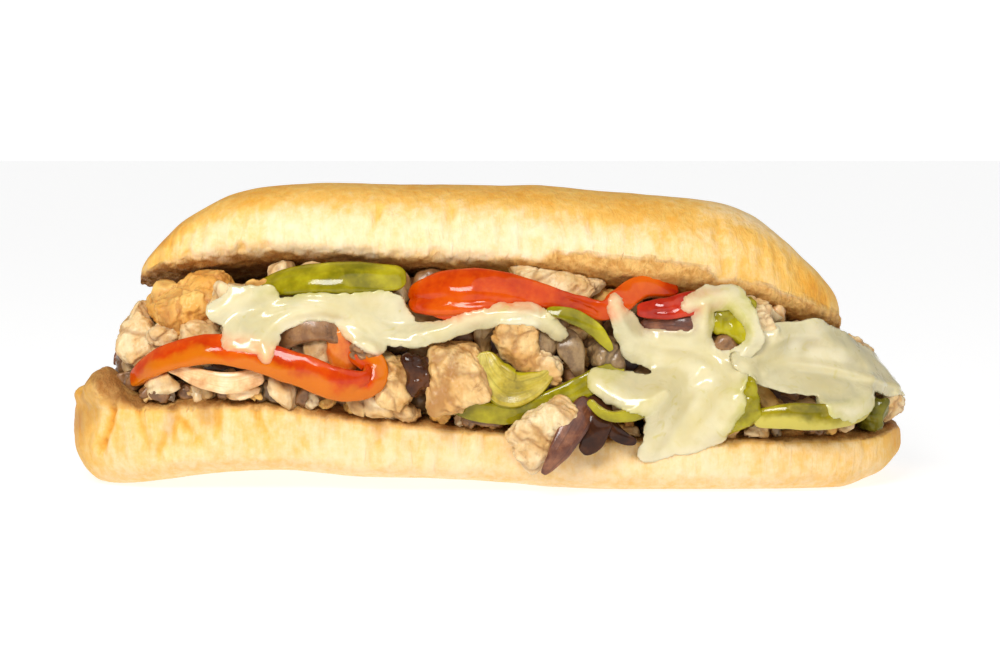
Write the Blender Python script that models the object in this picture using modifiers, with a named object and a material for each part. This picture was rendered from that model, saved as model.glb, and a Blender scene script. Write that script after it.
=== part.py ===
# A submarine sandwich: a split roll filled with chicken, peppers, onions, mushrooms and melted cheese.
# The tables below are in millimetres, and MM turns them into Blender's metres.
# X runs along the roll, -Y is the side that faces the viewer and +Z is up.
import math
import random

import bmesh
import bpy
from mathutils import Matrix, Vector, noise
from mathutils.bvhtree import BVHTree

MM = 0.001
GAP = 0.35  # clearance between neighbouring pieces
STRAIGHT_PART = 85.0  # half the length over which the sides run straight

# Bottom half of the roll
BOTTOM_HALF_LENGTH = 123.5
BOTTOM_CENTRE = -2.0
BOTTOM_HALF_WIDTH = 37.5
BOTTOM_DISH = 1.5  # how far the filling presses the cut face down
BOTTOM_LIP = 4.0  # how far the crust stands up at the two ends
# how far the underside is lifted off the table
BOTTOM_ARCH = [(-126, 0), (-112, 0.6), (-98, 2.2), (-86, 4), (-74, 5.2), (-62, 5.6), (-50, 4.8), (-38, 3.7),
               (-20, 3.3), (-8, 2.8), (4, 1.7), (16, 0.8), (30, 0.1), (40, 0), (126, 0)]
# height of the cut face at the front edge: (distance along the roll, height)
BOTTOM_RIM = [(-126, 28.5), (-97, 28.5), (-67, 29), (-44, 25.5), (-20, 22.5), (2, 21), (30, 18.5),
              (71, 18), (97, 18), (110, 18.5), (122, 20)]

# Top half of the roll, which leans back on the filling
TOP_HALF_LENGTH = 104.5
TOP_CENTRE = -1.6
TOP_HALF_WIDTH = 35.5
TOP_TILT = math.radians(16)
TOP_LIP = 7.0  # height of the widest line above the cut face
# height of the cut face at its middle line, and height of the crown above that face
TOP_ARCH = [(-106, 58), (-84, 59.5), (-64, 60), (-36, 58.5), (-10, 57), (13, 55), (33, 52), (58, 49.5),
            (75, 47.5), (90, 44.5), (103, 44.5)]
TOP_CROWN = [(-106, 3), (-103, 7), (-97, 12), (-90, 17), (-77, 23), (-55, 26.7), (-30, 27.9), (0, 29.8),
             (30, 32.3), (55, 33), (75, 31), (84, 27), (91, 21.5), (97, 15), (101, 10), (103, 6)]

# Heap of chopped filling between the halves
HEAP_HALF_LENGTH = 114.0
HEAP_CENTRE = 0.5
HEAP_HALF_WIDTH = 30.5
HEAP_LUMP = 3.0  # depth of the lumps on its surface
HEAP_CLEARANCE = 1.2  # space that it leaves under and over the bread
# height that the heap reaches where no bread lies on it
HEAP_TOP = [(-114, 34), (-108, 43), (-98, 52), (-90, 75), (84, 75), (92, 46), (103, 40), (115, 27)]

# Chopped pieces: centre, size along each axis, turn about Y in degrees, corners of the chunk, seed
CHUNKS = {
    "chicken_end_left": ((-104, -17, 43), (15, 18, 15), 35, 3),
    "chicken_top_left": ((-87, -22, 51.5), (20, 18, 12), -18, 4),
    "chicken_left_mid": ((-95.5, -25, 44.5), (9, 12, 8), 20, 5),
    "chicken_left_inner": ((-85, -28, 46), (12, 12, 8.5), -10, 6),
    "chicken_pale_left": ((-76, -29, 54), (12, 10, 9), 25, 7),
    "mushroom_end_left": ((-108, -19, 29.6), (10, 9, 6.5), -15, 8),
    "chicken_mid_small": ((-28.5, -38, 32.5), (11, 9, 15), 12, 9),
    "chicken_mid_big": ((-10, -39, 34.5), (17, 13, 18), -14, 10),
    "chicken_upper": ((6, -37.5, 45), (13, 11, 11.5), 10, 11),
    "mushroom_upper": ((13.5, -35, 44.8), (9, 9, 11), 25, 12),
    "chicken_small": ((14.5, -38.5, 38), (10, 8, 7.5), 30, 13),
    "mushroom_grey": ((31.5, -36.5, 41), (9, 8, 8), 0, 14),
    "chicken_under_bun": ((13, -31, 60), (25, 14, 8), 14, 15),
    "chicken_front": ((13.4, -42.5, 20), (24.5, 11, 12.5), -41, 16),
    "mushroom_bead": ((-37.5, -39, 42.3), (6.5, 6, 5.5), 10, 17),
    "onion_bead": ((-22, -42, 35.2), (8.5, 7, 12), -12, 18),
    "pepper_green_block": ((69, -40, 26.5), (11, 9, 13), -18, 19),
    "pepper_green_hole": ((66.5, -32, 49), (9, 8, 15), 8, 20),
    "chicken_hole_right": ((75.5, -31, 49.5), (8, 8, 11), 0, 21),
    "pepper_dark_right": ((110, -23, 21.8), (7.5, 9, 9), 0, 22),
    "chicken_right_corner": ((116, -12, 23.5), (9, 12, 9), -25, 23),
    "chicken_right_end": ((108.5, -8, 38.5), (11, 14, 8.5), 38, 24),
    "chicken_back_a": ((-62, 34, 37), (24, 13, 16), 12, 25),
    "chicken_back_b": ((-8, 35, 32), (19, 12, 14), -20, 26),
    "chicken_back_c": ((52, 34, 30), (23, 13, 15), 15, 27),
    "chicken_back_end": ((92, 27, 30), (16, 13, 14), -12, 28),
    "mushroom_back": ((22, 35, 30), (13, 10, 12), 30, 29),
    "chicken_back_left": ((-98, 22, 38), (16, 15, 14), 15, 30),
}

# Strips: points (x, y, z, width, lean) along the strip, thickness and how far the section is crowned.
# The lean is the way that the skin faces: 0 straight out from the sandwich and 90 up.
STRIPS = {
    "pepper_red_left": ([(-106, -24, 30.5, 5, 20), (-99, -31, 36.5, 7, 25), (-88, -37, 41, 8, 25),
                         (-76, -40, 42.5, 8.5, 20), (-65, -42, 40.3, 8.5, 10), (-54, -43, 37, 9, 0),
                         (-44, -43.5, 33.5, 9, -5), (-36, -42, 33.5, 7.5, -10), (-33.8, -40, 38, 7, -10),
                         (-40, -38, 42.5, 6.5, 0)], 3.6, 1.2),
    "onion_white": ([(-93, -34, 37, 2.5, 5), (-84, -38, 34.4, 5, 0), (-75, -39.5, 33, 6, 0),
                     (-66, -38, 35, 4.5, 0)], 2.6, 0.6),
    "mushroom_left": ([(-63, -34, 42, 4, 10), (-58.5, -36.5, 47, 8.5, 15), (-51, -37.5, 49.5, 9.5, 20),
                       (-44, -36.5, 47.5, 8, 15), (-38.5, -34, 43, 3, 10)], 3.5, 0.8),
    "pepper_green_top": ([(-73, -27, 56.5, 2, 35), (-62, -32, 60, 7, 35), (-50, -35, 61.8, 9.5, 35),
                          (-38, -35, 62, 9.5, 35), (-26, -33, 62, 7.5, 40)], 3.2, 1.8),
    "pepper_red_top": ([(-23.5, -32, 56, 7, 15), (-17, -36, 57.6, 12, 20), (-7, -38, 58.8, 13.5, 25),
                        (4, -38.5, 59, 10, 25), (15.5, -38, 57, 6.5, 20), (25.5, -37.5, 54.6, 5, 10),
                        (31, -37.5, 53.6, 5.5, 0), (35.5, -36, 56, 7, 10), (42, -32, 59.3, 7, 30),
                        (52, -28, 58.5, 6, 35)], 3.4, 1.8),
    "pepper_red_fold": ([(-22, -35, 55.4, 3, 0), (-15.5, -38, 54.2, 5, 0), (-8, -39.5, 53.4, 5.5, -5),
                         (-1, -38.5, 54.6, 3, 0)], 2.6, 0.6),
    "pepper_red_right": ([(41, -35, 53.5, 3.5, 0), (48, -37, 53.8, 5.5, 10), (55, -36.5, 55, 6.5, 20),
                          (62, -33, 56.2, 5.5, 30), (70, -28, 56.5, 4, 35)], 3.0, 1.0),
    "onion_under_red": ([(42, -33, 48.5, 3, 10), (49, -36, 49.8, 5, 10), (55, -37, 49.6, 5, 5),
                         (60, -36, 49.5, 2, 5)], 2.4, 0.6),
    "pepper_green_leaf": ([(14.5, -43, 54, 2, 20), (21, -43.5, 52.8, 4, 20), (27, -43, 49.6, 4.2, 10),
                           (31, -42, 45.6, 3.2, 0), (33, -41, 42.5, 1.5, 0)], 1.6, 0.4),
    "pepper_green_mid": ([(-3, -39.5, 42, 6, -10), (-1, -42.5, 36, 10, -5), (5, -43.5, 31.5, 11, 0),
                          (13, -42, 34, 6, 5), (17, -40, 38, 2.5, 10)], 3.2, -1.4),
    "pepper_green_long": ([(-15, -37.5, 28, 3, -10), (-7, -40, 25.6, 5.5, -10), (3, -41, 24.8, 6.5, -10),
                           (14, -41.5, 27, 7, 0), (23, -41, 31, 7, 5), (30, -40, 34.8, 6, 10),
                           (36, -38, 37.6, 4, 15)], 2.6, 0.6),
    "mushroom_streaked": ([(20, -37, 47.5, 4.5, 10), (21.5, -39.5, 43, 7.5, 0), (23.5, -39, 37.5, 4, -5),
                           (24.5, -37.5, 34.5, 2, -10)], 2.8, 0.8),
    "onion_front": ([(26.5, -41.5, 28.5, 6, 0), (22, -46, 21, 7.5, 0), (17.5, -48, 14, 5.5, -5),
                     (13.5, -47.5, 8.5, 1.6, -10)], 2.4, 0.8),
    "onion_dark": ([(28, -39, 31, 7, 0), (29, -43, 24, 9, 0), (27.5, -44.5, 17.5, 7, -5),
                    (24.5, -45, 14, 3, -10)], 2.6, 0.8),
    "onion_dark_tail": ([(31, -42.5, 23.5, 3.5, 0), (35, -43.5, 18.8, 4, 0), (40, -43.5, 16.8, 1.8, 0)], 2.0, 0.4),
    "pepper_green_edge": ([(26.5, -46, 29, 1.8, -30), (31, -47.5, 25.3, 3, -30), (38, -47.5, 25, 4, -30),
                           (44, -47, 28, 4, -30), (48.5, -46, 31.5, 2, -30)], 1.8, 0.4),
    "pepper_green_right": ([(74, -40.5, 23.2, 4.5, 0), (83, -42.5, 24, 6.5, 5), (93, -41, 23.6, 6.5, 5),
                            (102, -35, 24, 6, 0), (108, -29, 26.5, 3.5, 0)], 3.4, 1.0),
    "pepper_red_back": ([(-50, 33, 45, 5, 25), (-38, 38, 46.5, 10, 20), (-24, 39.5, 43, 10, 15),
                         (-10, 38.5, 41.5, 8.5, 10), (3, 35, 42.5, 4, 15)], 3.4, 1.6),
    "pepper_green_back": ([(24, 33, 40, 4, 20), (36, 38, 42, 9, 20), (50, 39.5, 41, 9.5, 15),
                           (64, 38, 38.5, 8, 10), (76, 33, 37, 3, 15)], 3.2, 1.6),
    "pepper_green_back_low": ([(-38, 36, 26, 3.5, -10), (-29, 39.5, 27.5, 6.5, -5), (-20, 39.5, 28, 6.5, 0),
                               (-12, 36.5, 30, 3, 5)], 3.0, 1.0),
    "pepper_red_end": ([(97, 30, 36, 3, 25), (106, 21, 35.5, 6, 25), (112, 9, 33, 7, 20),
                        (114, -1, 29, 4, 10)], 3.2, 1.0),
    "onion_end": ([(-113, -2, 35, 3, 10), (-112, 7, 37, 6, 15), (-106, 17, 38, 6.5, 20),
                   (-99, 26, 36, 3, 20)], 2.6, 0.8),
    "onion_back": ([(30, 36.5, 23.5, 3, -10), (38, 39.5, 22.5, 5.5, -5), (47, 39.5, 22.5, 5.5, -5),
                    (56, 36.5, 24, 2.5, 0)], 2.4, 0.6),
}

# Melted cheese: strands of joined beads (along, up, radius), holes, turn, thickness and grid step.
# The turn is the way that the sheet faces: 0 towards the viewer, 90 to the right end, 180 to the back.
CHEESES = {
    "cheese_left": ([[(-72, 50, 4.5), (-67, 49, 6), (-62, 52, 5), (-55, 54, 4), (-48, 55, 4), (-43, 54, 4.5),
                      (-37, 50.5, 4.2), (-30, 47.5, 3.8), (-22, 46.5, 3.4), (-14, 48, 3), (-6, 51, 3),
                      (2, 53, 3.2), (9, 53, 3.2), (15, 50.5, 3), (18, 47.5, 2.2)],
                     [(-67, 49, 6), (-64, 46, 3.6), (-64.5, 41, 2)],
                     [(-72, 50, 4.5), (-74, 45, 3.2), (-69, 44.5, 3.2)],
                     [(-38, 55, 4), (-30, 54, 5), (-26, 50, 3.2)],
                     [(-43, 54, 4), (-41, 48, 2.6), (-37.5, 45.5, 2.4), (-33, 43.5, 2.4)]], [], 0, 1.6, 3.0),
    "cheese_centre": ([[(34, 56, 2.2), (36.5, 50, 3.6), (40, 44, 5), (46, 42, 6), (54, 42, 6.5), (61, 43, 6),
                        (66, 37, 6), (62, 31, 8), (54, 32, 9), (50, 25, 8), (48, 18, 6), (44.5, 14.5, 3.6)],
                       [(50, 25, 8), (54, 17.5, 6), (60, 21, 7), (65, 28, 6)],
                       [(55, 55.5, 2.4), (62, 57, 4), (68, 57, 3.6), (71.5, 52, 2.8), (73, 46, 3.4), (68, 40, 4)],
                       [(60, 55, 3), (59, 50, 3.4), (60, 44, 4)],
                       [(30, 33.5, 4), (37, 31, 5), (44, 30, 6)]], [(66.3, 46.8, 4.6)], 0, 1.8, 3.1),
    "cheese_right": ([[(28, 39, 3), (34, 38.5, 5), (43, 39, 5.5), (54, 38, 6), (65, 35, 5.5), (76, 31.5, 4.6),
                       (84, 29, 3.4), (90, 28, 2.2)],
                      [(65, 34, 5), (60, 28, 5), (54, 25, 4), (47, 26, 3)],
                      [(34, 40, 4), (41, 45, 4.5), (53, 44.5, 5.5), (65, 40, 5)]],
                     [], 40, 1.6, 3.2),
    "cheese_back": ([[(16, 38, 3), (4, 40, 5), (-8, 42, 6), (-20, 40, 6.5), (-30, 37, 5), (-40, 36, 3)],
                     [(-8, 42, 6), (-6, 34, 4.5), (-4, 28, 3)],
                     [(-20, 40, 6), (-24, 33, 4.5), (-22, 26, 3.5)]], [], 180, 1.7, 3.8),
}

# Small chopped bits fused to the heap where it shows: (from, to, how many)
HEAP_BITS = [((-92, -33, 32), (-48, -33, 29), 5), ((-46, -35, 27.5), (-16, -35, 26), 4),
             ((-8, -35.5, 23), (8, -35.5, 23), 3), ((70, -34, 21), (100, -31, 21), 4),
             ((-60, -31, 56), (12, -31, 54), 4), ((-70, 32, 31), (84, 32, 26), 6),
             ((-50, 31, 45), (60, 31, 41), 4), ((-112, -8, 36), (-104, 18, 36), 3),
             ((112, -6, 24), (106, 18, 24), 3)]
BIT_SIZE = 7.0
FLAT_ENOUGH = math.radians(2.5)  # faces that meet at less than this are joined

BREAD = (0.85, 0.62, 0.33)
SMOOTH = ("bun", "cheese", "pepper_red", "pepper_green_top")
LOOKS = {
    "bun": (BREAD, 0.6), "chicken": ((0.80, 0.58, 0.34), 0.6), "filling": ((0.45, 0.28, 0.14), 0.55),
    "mushroom": ((0.30, 0.19, 0.11), 0.45), "pepper_red": ((0.75, 0.10, 0.02), 0.25),
    "pepper_green": ((0.40, 0.35, 0.03), 0.3), "pepper_dark": ((0.18, 0.17, 0.03), 0.3),
    "onion": ((0.35, 0.15, 0.10), 0.35), "onion_white": ((0.88, 0.65, 0.42), 0.35),
    "cheese": ((0.86, 0.78, 0.50), 0.3),
}


def clear_scene():
    for thing in list(bpy.data.objects):
        bpy.data.objects.remove(thing, do_unlink=True)


def smooth_value(stations, x):
    """Value at x of a smooth curve through (x, value) stations."""
    if x <= stations[0][0]:
        return stations[0][1]
    if x >= stations[-1][0]:
        return stations[-1][1]
    last = len(stations) - 1
    i = max(k for k in range(last) if stations[k][0] <= x)
    (x0, v0), (x1, v1) = stations[i], stations[i + 1]
    xa, va = stations[max(i - 1, 0)]
    xb, vb = stations[min(i + 2, last)]
    span = x1 - x0
    t = (x - x0) / span
    slope0 = (v1 - va) / (x1 - xa) * span
    slope1 = (vb - v0) / (xb - x0) * span
    return ((2 * t**3 - 3 * t**2 + 1) * v0 + (t**3 - 2 * t**2 + t) * slope0
            + (3 * t**2 - 2 * t**3) * v1 + (t**3 - t**2) * slope1)


def signed_power(value, power):
    return math.copysign(abs(value) ** power, value)


def end_taper(s, fullness, roundness):
    """1 along the middle and 0 at both ends of a loaf, where s runs from -1 to 1."""
    return max(0.0, 1 - abs(s) ** fullness) ** (1 / roundness)


def bottom_width(s):
    return BOTTOM_HALF_WIDTH * end_taper(s, 6.5, 2.2)


def cut_height(x, y):
    """Height of the bottom half's cut face, in millimetres."""
    s = max(-1.0, min(1.0, (x - BOTTOM_CENTRE) / BOTTOM_HALF_LENGTH))
    across = min(1.0, abs(y) / max(bottom_width(s), 1.0))
    lip = BOTTOM_LIP * max(0.0, (abs(s) - 0.93) / 0.07)
    return smooth_value(BOTTOM_RIM, x) - BOTTOM_DISH * (1 - across**2) * end_taper(s, 8, 1) + lip


def bottom_point(s, angle):
    """Point on the bottom half: s along it, angle round it from the back edge over the cut face."""
    x = BOTTOM_CENTRE + BOTTOM_HALF_LENGTH * s
    rim = smooth_value(BOTTOM_RIM, x)
    widest = 0.6 * rim
    c, sn = math.cos(angle), math.sin(angle)
    arch = max(0.0, smooth_value(BOTTOM_ARCH, x))
    if sn >= 0:
        y = bottom_width(s) * signed_power(c, 2 / 5.0)
        z = widest + (cut_height(x, y) - widest) * sn ** (2 / 5.0) * end_taper(s, 16, 2)
    else:
        y = bottom_width(s) * signed_power(c, 2 / 3.2)
        z = max(arch, widest - (widest - arch) * abs(sn) ** (2 / 3.2) * end_taper(s, 26, 2) * 1.1)
    return Vector((x, y, z)) * MM


def top_width(s):
    return TOP_HALF_WIDTH * end_taper(s, 3.6, 2.1)


def lean_back(y, z):
    """Turns a point of the top half about its cut face's middle line, so that its front edge rises."""
    return (y * math.cos(TOP_TILT) + z * math.sin(TOP_TILT), z * math.cos(TOP_TILT) - y * math.sin(TOP_TILT))


def under_height(x, y):
    """Height of the top half's cut face above the table, in millimetres."""
    return smooth_value(TOP_ARCH, x) - math.tan(TOP_TILT) * y


def top_point(s, angle):
    x = TOP_CENTRE + TOP_HALF_LENGTH * s
    crown = smooth_value(TOP_CROWN, x)
    lip = min(TOP_LIP, 0.4 * crown)
    c, sn = math.cos(angle), math.sin(angle)
    if sn >= 0:
        y, z = top_width(s) * signed_power(c, 2 / 2.3), lip + (crown - lip) * sn ** (2 / 2.3)
    else:
        y, z = top_width(s) * signed_power(c, 2 / 4.0), lip - lip * abs(sn) ** (2 / 4.0)
    y, z = lean_back(y, z)
    return Vector((x, y, smooth_value(TOP_ARCH, x) + z)) * MM


def heap_point(s, angle):
    x = HEAP_CENTRE + HEAP_HALF_LENGTH * s
    c, sn = math.cos(angle), math.sin(angle)
    y = HEAP_HALF_WIDTH * end_taper(s, 5, 2.2) * signed_power(c, 2 / 3.5)
    low = cut_height(x, y) + HEAP_CLEARANCE
    high = max(low + 1, min(under_height(x, y) - HEAP_CLEARANCE, smooth_value(HEAP_TOP, x)))
    middle = (low + high) / 2
    z = middle + (high - low) / 2 * signed_power(sn, 2 / 6.0) * end_taper(s, 12, 2)
    lump = noise.noise(Vector((x, y, z)) * 0.09) * HEAP_LUMP
    return (Vector((x, y, z)) + outwards(x, y) * lump * abs(c)) * MM


def new_object(name, mesh, look):
    body = bpy.data.objects.new(name, mesh)
    collection.objects.link(body)
    mesh.materials.append(material(look))
    return body


def material(look):
    found = bpy.data.materials.get(look)
    if found:
        return found
    colour, roughness = LOOKS[look]
    made = bpy.data.materials.new(look)
    made.use_nodes = True
    shader = made.node_tree.nodes["Principled BSDF"]
    shader.inputs["Base Color"].default_value = (*colour, 1)
    shader.inputs["Roughness"].default_value = roughness
    return made


def look_of(name):
    """The longest name in LOOKS that the piece's name starts with."""
    return max((look for look in LOOKS if name.startswith(look)), key=len)


def loaf(name, point, rounds, rings):
    """A loaf-shaped solid: a sphere whose poles lie at the ends, moved point by point."""
    shape = bmesh.new()
    bmesh.ops.create_uvsphere(shape, u_segments=rounds, v_segments=rings, radius=1)
    for vert in shape.verts:
        s = max(-1.0, min(1.0, vert.co.z))
        angle = math.atan2(vert.co.y, vert.co.x)
        vert.co = point(s, angle)
    mesh = bpy.data.meshes.new(name)
    shape.to_mesh(mesh)
    shape.free()
    return new_object(name, mesh, look_of(name))


def chunk_radius(direction, planes):
    """Distance from a chunk's middle to its surface: a block of flat sides with softened edges."""
    total = sum(max(0.0, direction.dot(normal)) ** 10 for normal in planes)
    return total ** (-1 / 10)


def chunk_planes(seed):
    """Outward normals of a chunk's sides, each a little askew."""
    draw = random.Random(seed)
    planes = []
    for axis in ((1, 0, 0), (-1, 0, 0), (0, 1, 0), (0, -1, 0), (0, 0, 1), (0, 0, -1)):
        skew = Vector((draw.uniform(-0.35, 0.35) for _ in range(3)))
        planes.append((Vector(axis) + skew).normalized())
    for _ in range(3):
        corner = Vector((draw.choice((-1, 1)), draw.choice((-1, 1)), draw.choice((-1, 1)))).normalized()
        planes.append(corner * draw.uniform(0.75, 0.95))
    return planes


def chunk_mesh(name, centre, size, turn, seed, detail):
    planes = chunk_planes(seed)
    placed = Matrix.Translation(Vector(centre)) @ Matrix.Rotation(math.radians(turn), 4, "Y")
    shape = bmesh.new()
    bmesh.ops.create_icosphere(shape, subdivisions=detail, radius=1)
    for vert in shape.verts:
        direction = vert.co.normalized()
        reach = chunk_radius(direction, planes)
        reach *= 1 + 0.09 * noise.noise(direction * 2.3 + Vector((seed, 0, 0)))
        vert.co = placed @ Vector(direction[k] * reach * size[k] / 2 for k in range(3)) * MM
    mesh = bpy.data.meshes.new(name)
    shape.to_mesh(mesh)
    shape.free()
    return mesh


def curve_through(points, t):
    """Point at t, from 0 to 1, of a smooth curve through rows of numbers."""
    last = len(points) - 1
    place = t * last
    i = min(int(place), last - 1)
    u = place - i
    rows = [points[max(i - 1, 0)], points[i], points[i + 1], points[min(i + 2, last)]]
    made = []
    for a, b, c, d in zip(*rows):
        square, cube = 2 * a - 5 * b + 4 * c - d, 3 * b - a - 3 * c + d
        made.append(0.5 * (2 * b + (c - a) * u + square * u**2 + cube * u**3))
    return made


def outwards(x, y):
    """Level direction away from the sandwich's middle line, which turns round its two ends."""
    return Vector((x - max(-STRAIGHT_PART, min(STRAIGHT_PART, x)), y, 0)).normalized()


def strip_frame(points, t):
    """Middle, width, side direction and outward direction of a strip at t."""
    x, y, z, width, lean = curve_through(points, t)
    ahead = Vector(curve_through(points, min(1, t + 0.01))[:3])
    behind = Vector(curve_through(points, max(0, t - 0.01))[:3])
    along = (ahead - behind).normalized()
    facing = outwards(x, y) * math.cos(math.radians(lean)) + Vector((0, 0, math.sin(math.radians(lean))))
    facing = (facing - along * facing.dot(along)).normalized()
    return Vector((x, y, z)), width, along.cross(facing), facing


def strip(name, points, thickness, crown, lengths, widths):
    """A strip of vegetable: a flat grid bent along its points and given a thickness."""
    shape = bmesh.new()
    bmesh.ops.create_grid(shape, x_segments=lengths, y_segments=widths, size=0.5)
    widest = max(point[3] for point in points)
    for vert in shape.verts:
        middle, width, side, facing = strip_frame(points, vert.co.x + 0.5)
        across = vert.co.y * 2
        rise = crown * min(1, width / widest) ** 2 * (1 - across**2)
        vert.co = (middle + side * across * width / 2 + facing * rise) * MM
    mesh = bpy.data.meshes.new(name)
    shape.to_mesh(mesh)
    shape.free()
    body = new_object(name, mesh, look_of(name))
    wall = body.modifiers.new("thickness", "SOLIDIFY")
    wall.thickness = thickness * MM
    wall.offset = 0
    wall.use_even_offset = False
    apply_modifiers(body)
    return body


def apply_modifiers(body):
    graph = bpy.context.evaluated_depsgraph_get()
    graph.update()
    mesh = bpy.data.meshes.new_from_object(body.evaluated_get(graph), depsgraph=graph)
    old = body.data
    body.modifiers.clear()
    body.data = mesh
    bpy.data.meshes.remove(old)
    mesh.name = body.name


def settle_faces(body):
    """Points the faces outwards and splits them into triangles, so that a copy has the same surface."""
    shape = bmesh.new()
    shape.from_mesh(body.data)
    bmesh.ops.recalc_face_normals(shape, faces=shape.faces)
    bmesh.ops.triangulate(shape, faces=shape.faces)
    shape.to_mesh(body.data)
    shape.free()


def swollen_copy(body):
    """A copy of a solid, grown by the clearance, that its neighbours are cut by."""
    shape = bmesh.new()
    shape.from_mesh(body.data)
    shape.normal_update()
    grown = [vert.co + vert.normal * GAP * MM * min(1.8, vert.calc_shell_factor()) for vert in shape.verts]
    for vert, place in zip(shape.verts, grown):
        vert.co = place
    mesh = bpy.data.meshes.new(body.name + "_cutter")
    shape.to_mesh(mesh)
    shape.free()
    copy = bpy.data.objects.new(mesh.name, mesh)
    cutters.objects.link(copy)
    copy.hide_render = True
    copy.display_type = "WIRE"
    return copy


def boxes_meet(a, b):
    def box(body):
        corners = [vert.co for vert in body.data.vertices]
        return [(min(c[k] for c in corners), max(c[k] for c in corners)) for k in range(3)]
    return all(low_a <= high_b and low_b <= high_a for (low_a, high_a), (low_b, high_b) in zip(box(a), box(b)))


def cut_clear(body, others):
    """Cuts the body back from the swollen copies of its neighbours."""
    near = [other for other in others if boxes_meet(body, other)]
    for other in near:
        cut = body.modifiers.new("clear_of_" + other.name, "BOOLEAN")
        cut.operation = "DIFFERENCE"
        cut.solver = "MANIFOLD"
        cut.object = other
    if near:
        apply_modifiers(body)
        keep_largest(body)


def keep_largest(body):
    """Drops the loose scraps that a cut leaves and joins faces that lie almost flat."""
    shape = bmesh.new()
    shape.from_mesh(body.data)
    unseen = set(shape.faces)
    islands = []
    while unseen:
        island, rim = set(), [unseen.pop()]
        while rim:
            face = rim.pop()
            island.add(face)
            near = {other for edge in face.edges if edge.is_manifold for other in edge.link_faces} & unseen
            unseen -= near
            rim.extend(near)
        islands.append(island)
    largest = max(islands, key=lambda island: sum(face.calc_area() for face in island))
    scraps = [face for island in islands if island is not largest for face in island]
    bmesh.ops.delete(shape, geom=scraps, context="FACES")
    bmesh.ops.dissolve_limit(shape, angle_limit=FLAT_ENOUGH, verts=shape.verts, edges=shape.edges)
    bmesh.ops.triangulate(shape, faces=shape.faces)
    bmesh.ops.dissolve_degenerate(shape, dist=0.001 * MM, edges=shape.edges)
    shape.to_mesh(body.data)
    shape.free()


def fuse_bits(heap):
    """Joins small chopped bits to the heap with one Boolean union on their collection."""
    draw = random.Random(31)
    bits = bpy.data.collections.new("bits")
    bpy.context.scene.collection.children.link(bits)
    for first, last, count in HEAP_BITS:
        for k in range(count):
            centre = Vector(first).lerp(Vector(last), (k + draw.uniform(0.2, 0.8)) / count)
            centre += Vector((0, draw.uniform(-0.8, 0.8), draw.uniform(-2, 2)))
            size = [BIT_SIZE * draw.uniform(0.7, 1.3) for _ in range(3)]
            mesh = chunk_mesh("bit", centre, size, draw.uniform(0, 180), draw.randrange(1000), 1)
            bits.objects.link(bpy.data.objects.new("bit", mesh))
    join = heap.modifiers.new("bits", "BOOLEAN")
    join.operation = "UNION"
    join.solver = "MANIFOLD"
    join.operand_type = "COLLECTION"
    join.collection = bits
    apply_modifiers(heap)
    for bit in list(bits.objects):
        bpy.data.objects.remove(bit)
    bpy.data.collections.remove(bits)
    keep_largest(heap)


def strand_distance(x, z, strands, holes):
    """Signed distance from a point to the edge of the melted cheese, negative inside it."""
    nearest = 1e9
    for strand in strands:
        for (xa, za, ra), (xb, zb, rb) in zip(strand, strand[1:]):
            run = (xb - xa) ** 2 + (zb - za) ** 2
            t = max(0.0, min(1.0, ((x - xa) * (xb - xa) + (z - za) * (zb - za)) / run))
            reach = math.hypot(x - xa - t * (xb - xa), z - za - t * (zb - za)) - (ra + t * (rb - ra))
            nearest = min(nearest, reach)
    for xh, zh, rh in holes:
        nearest = max(nearest, rh - math.hypot(x - xh, z - zh))
    return nearest


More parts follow.
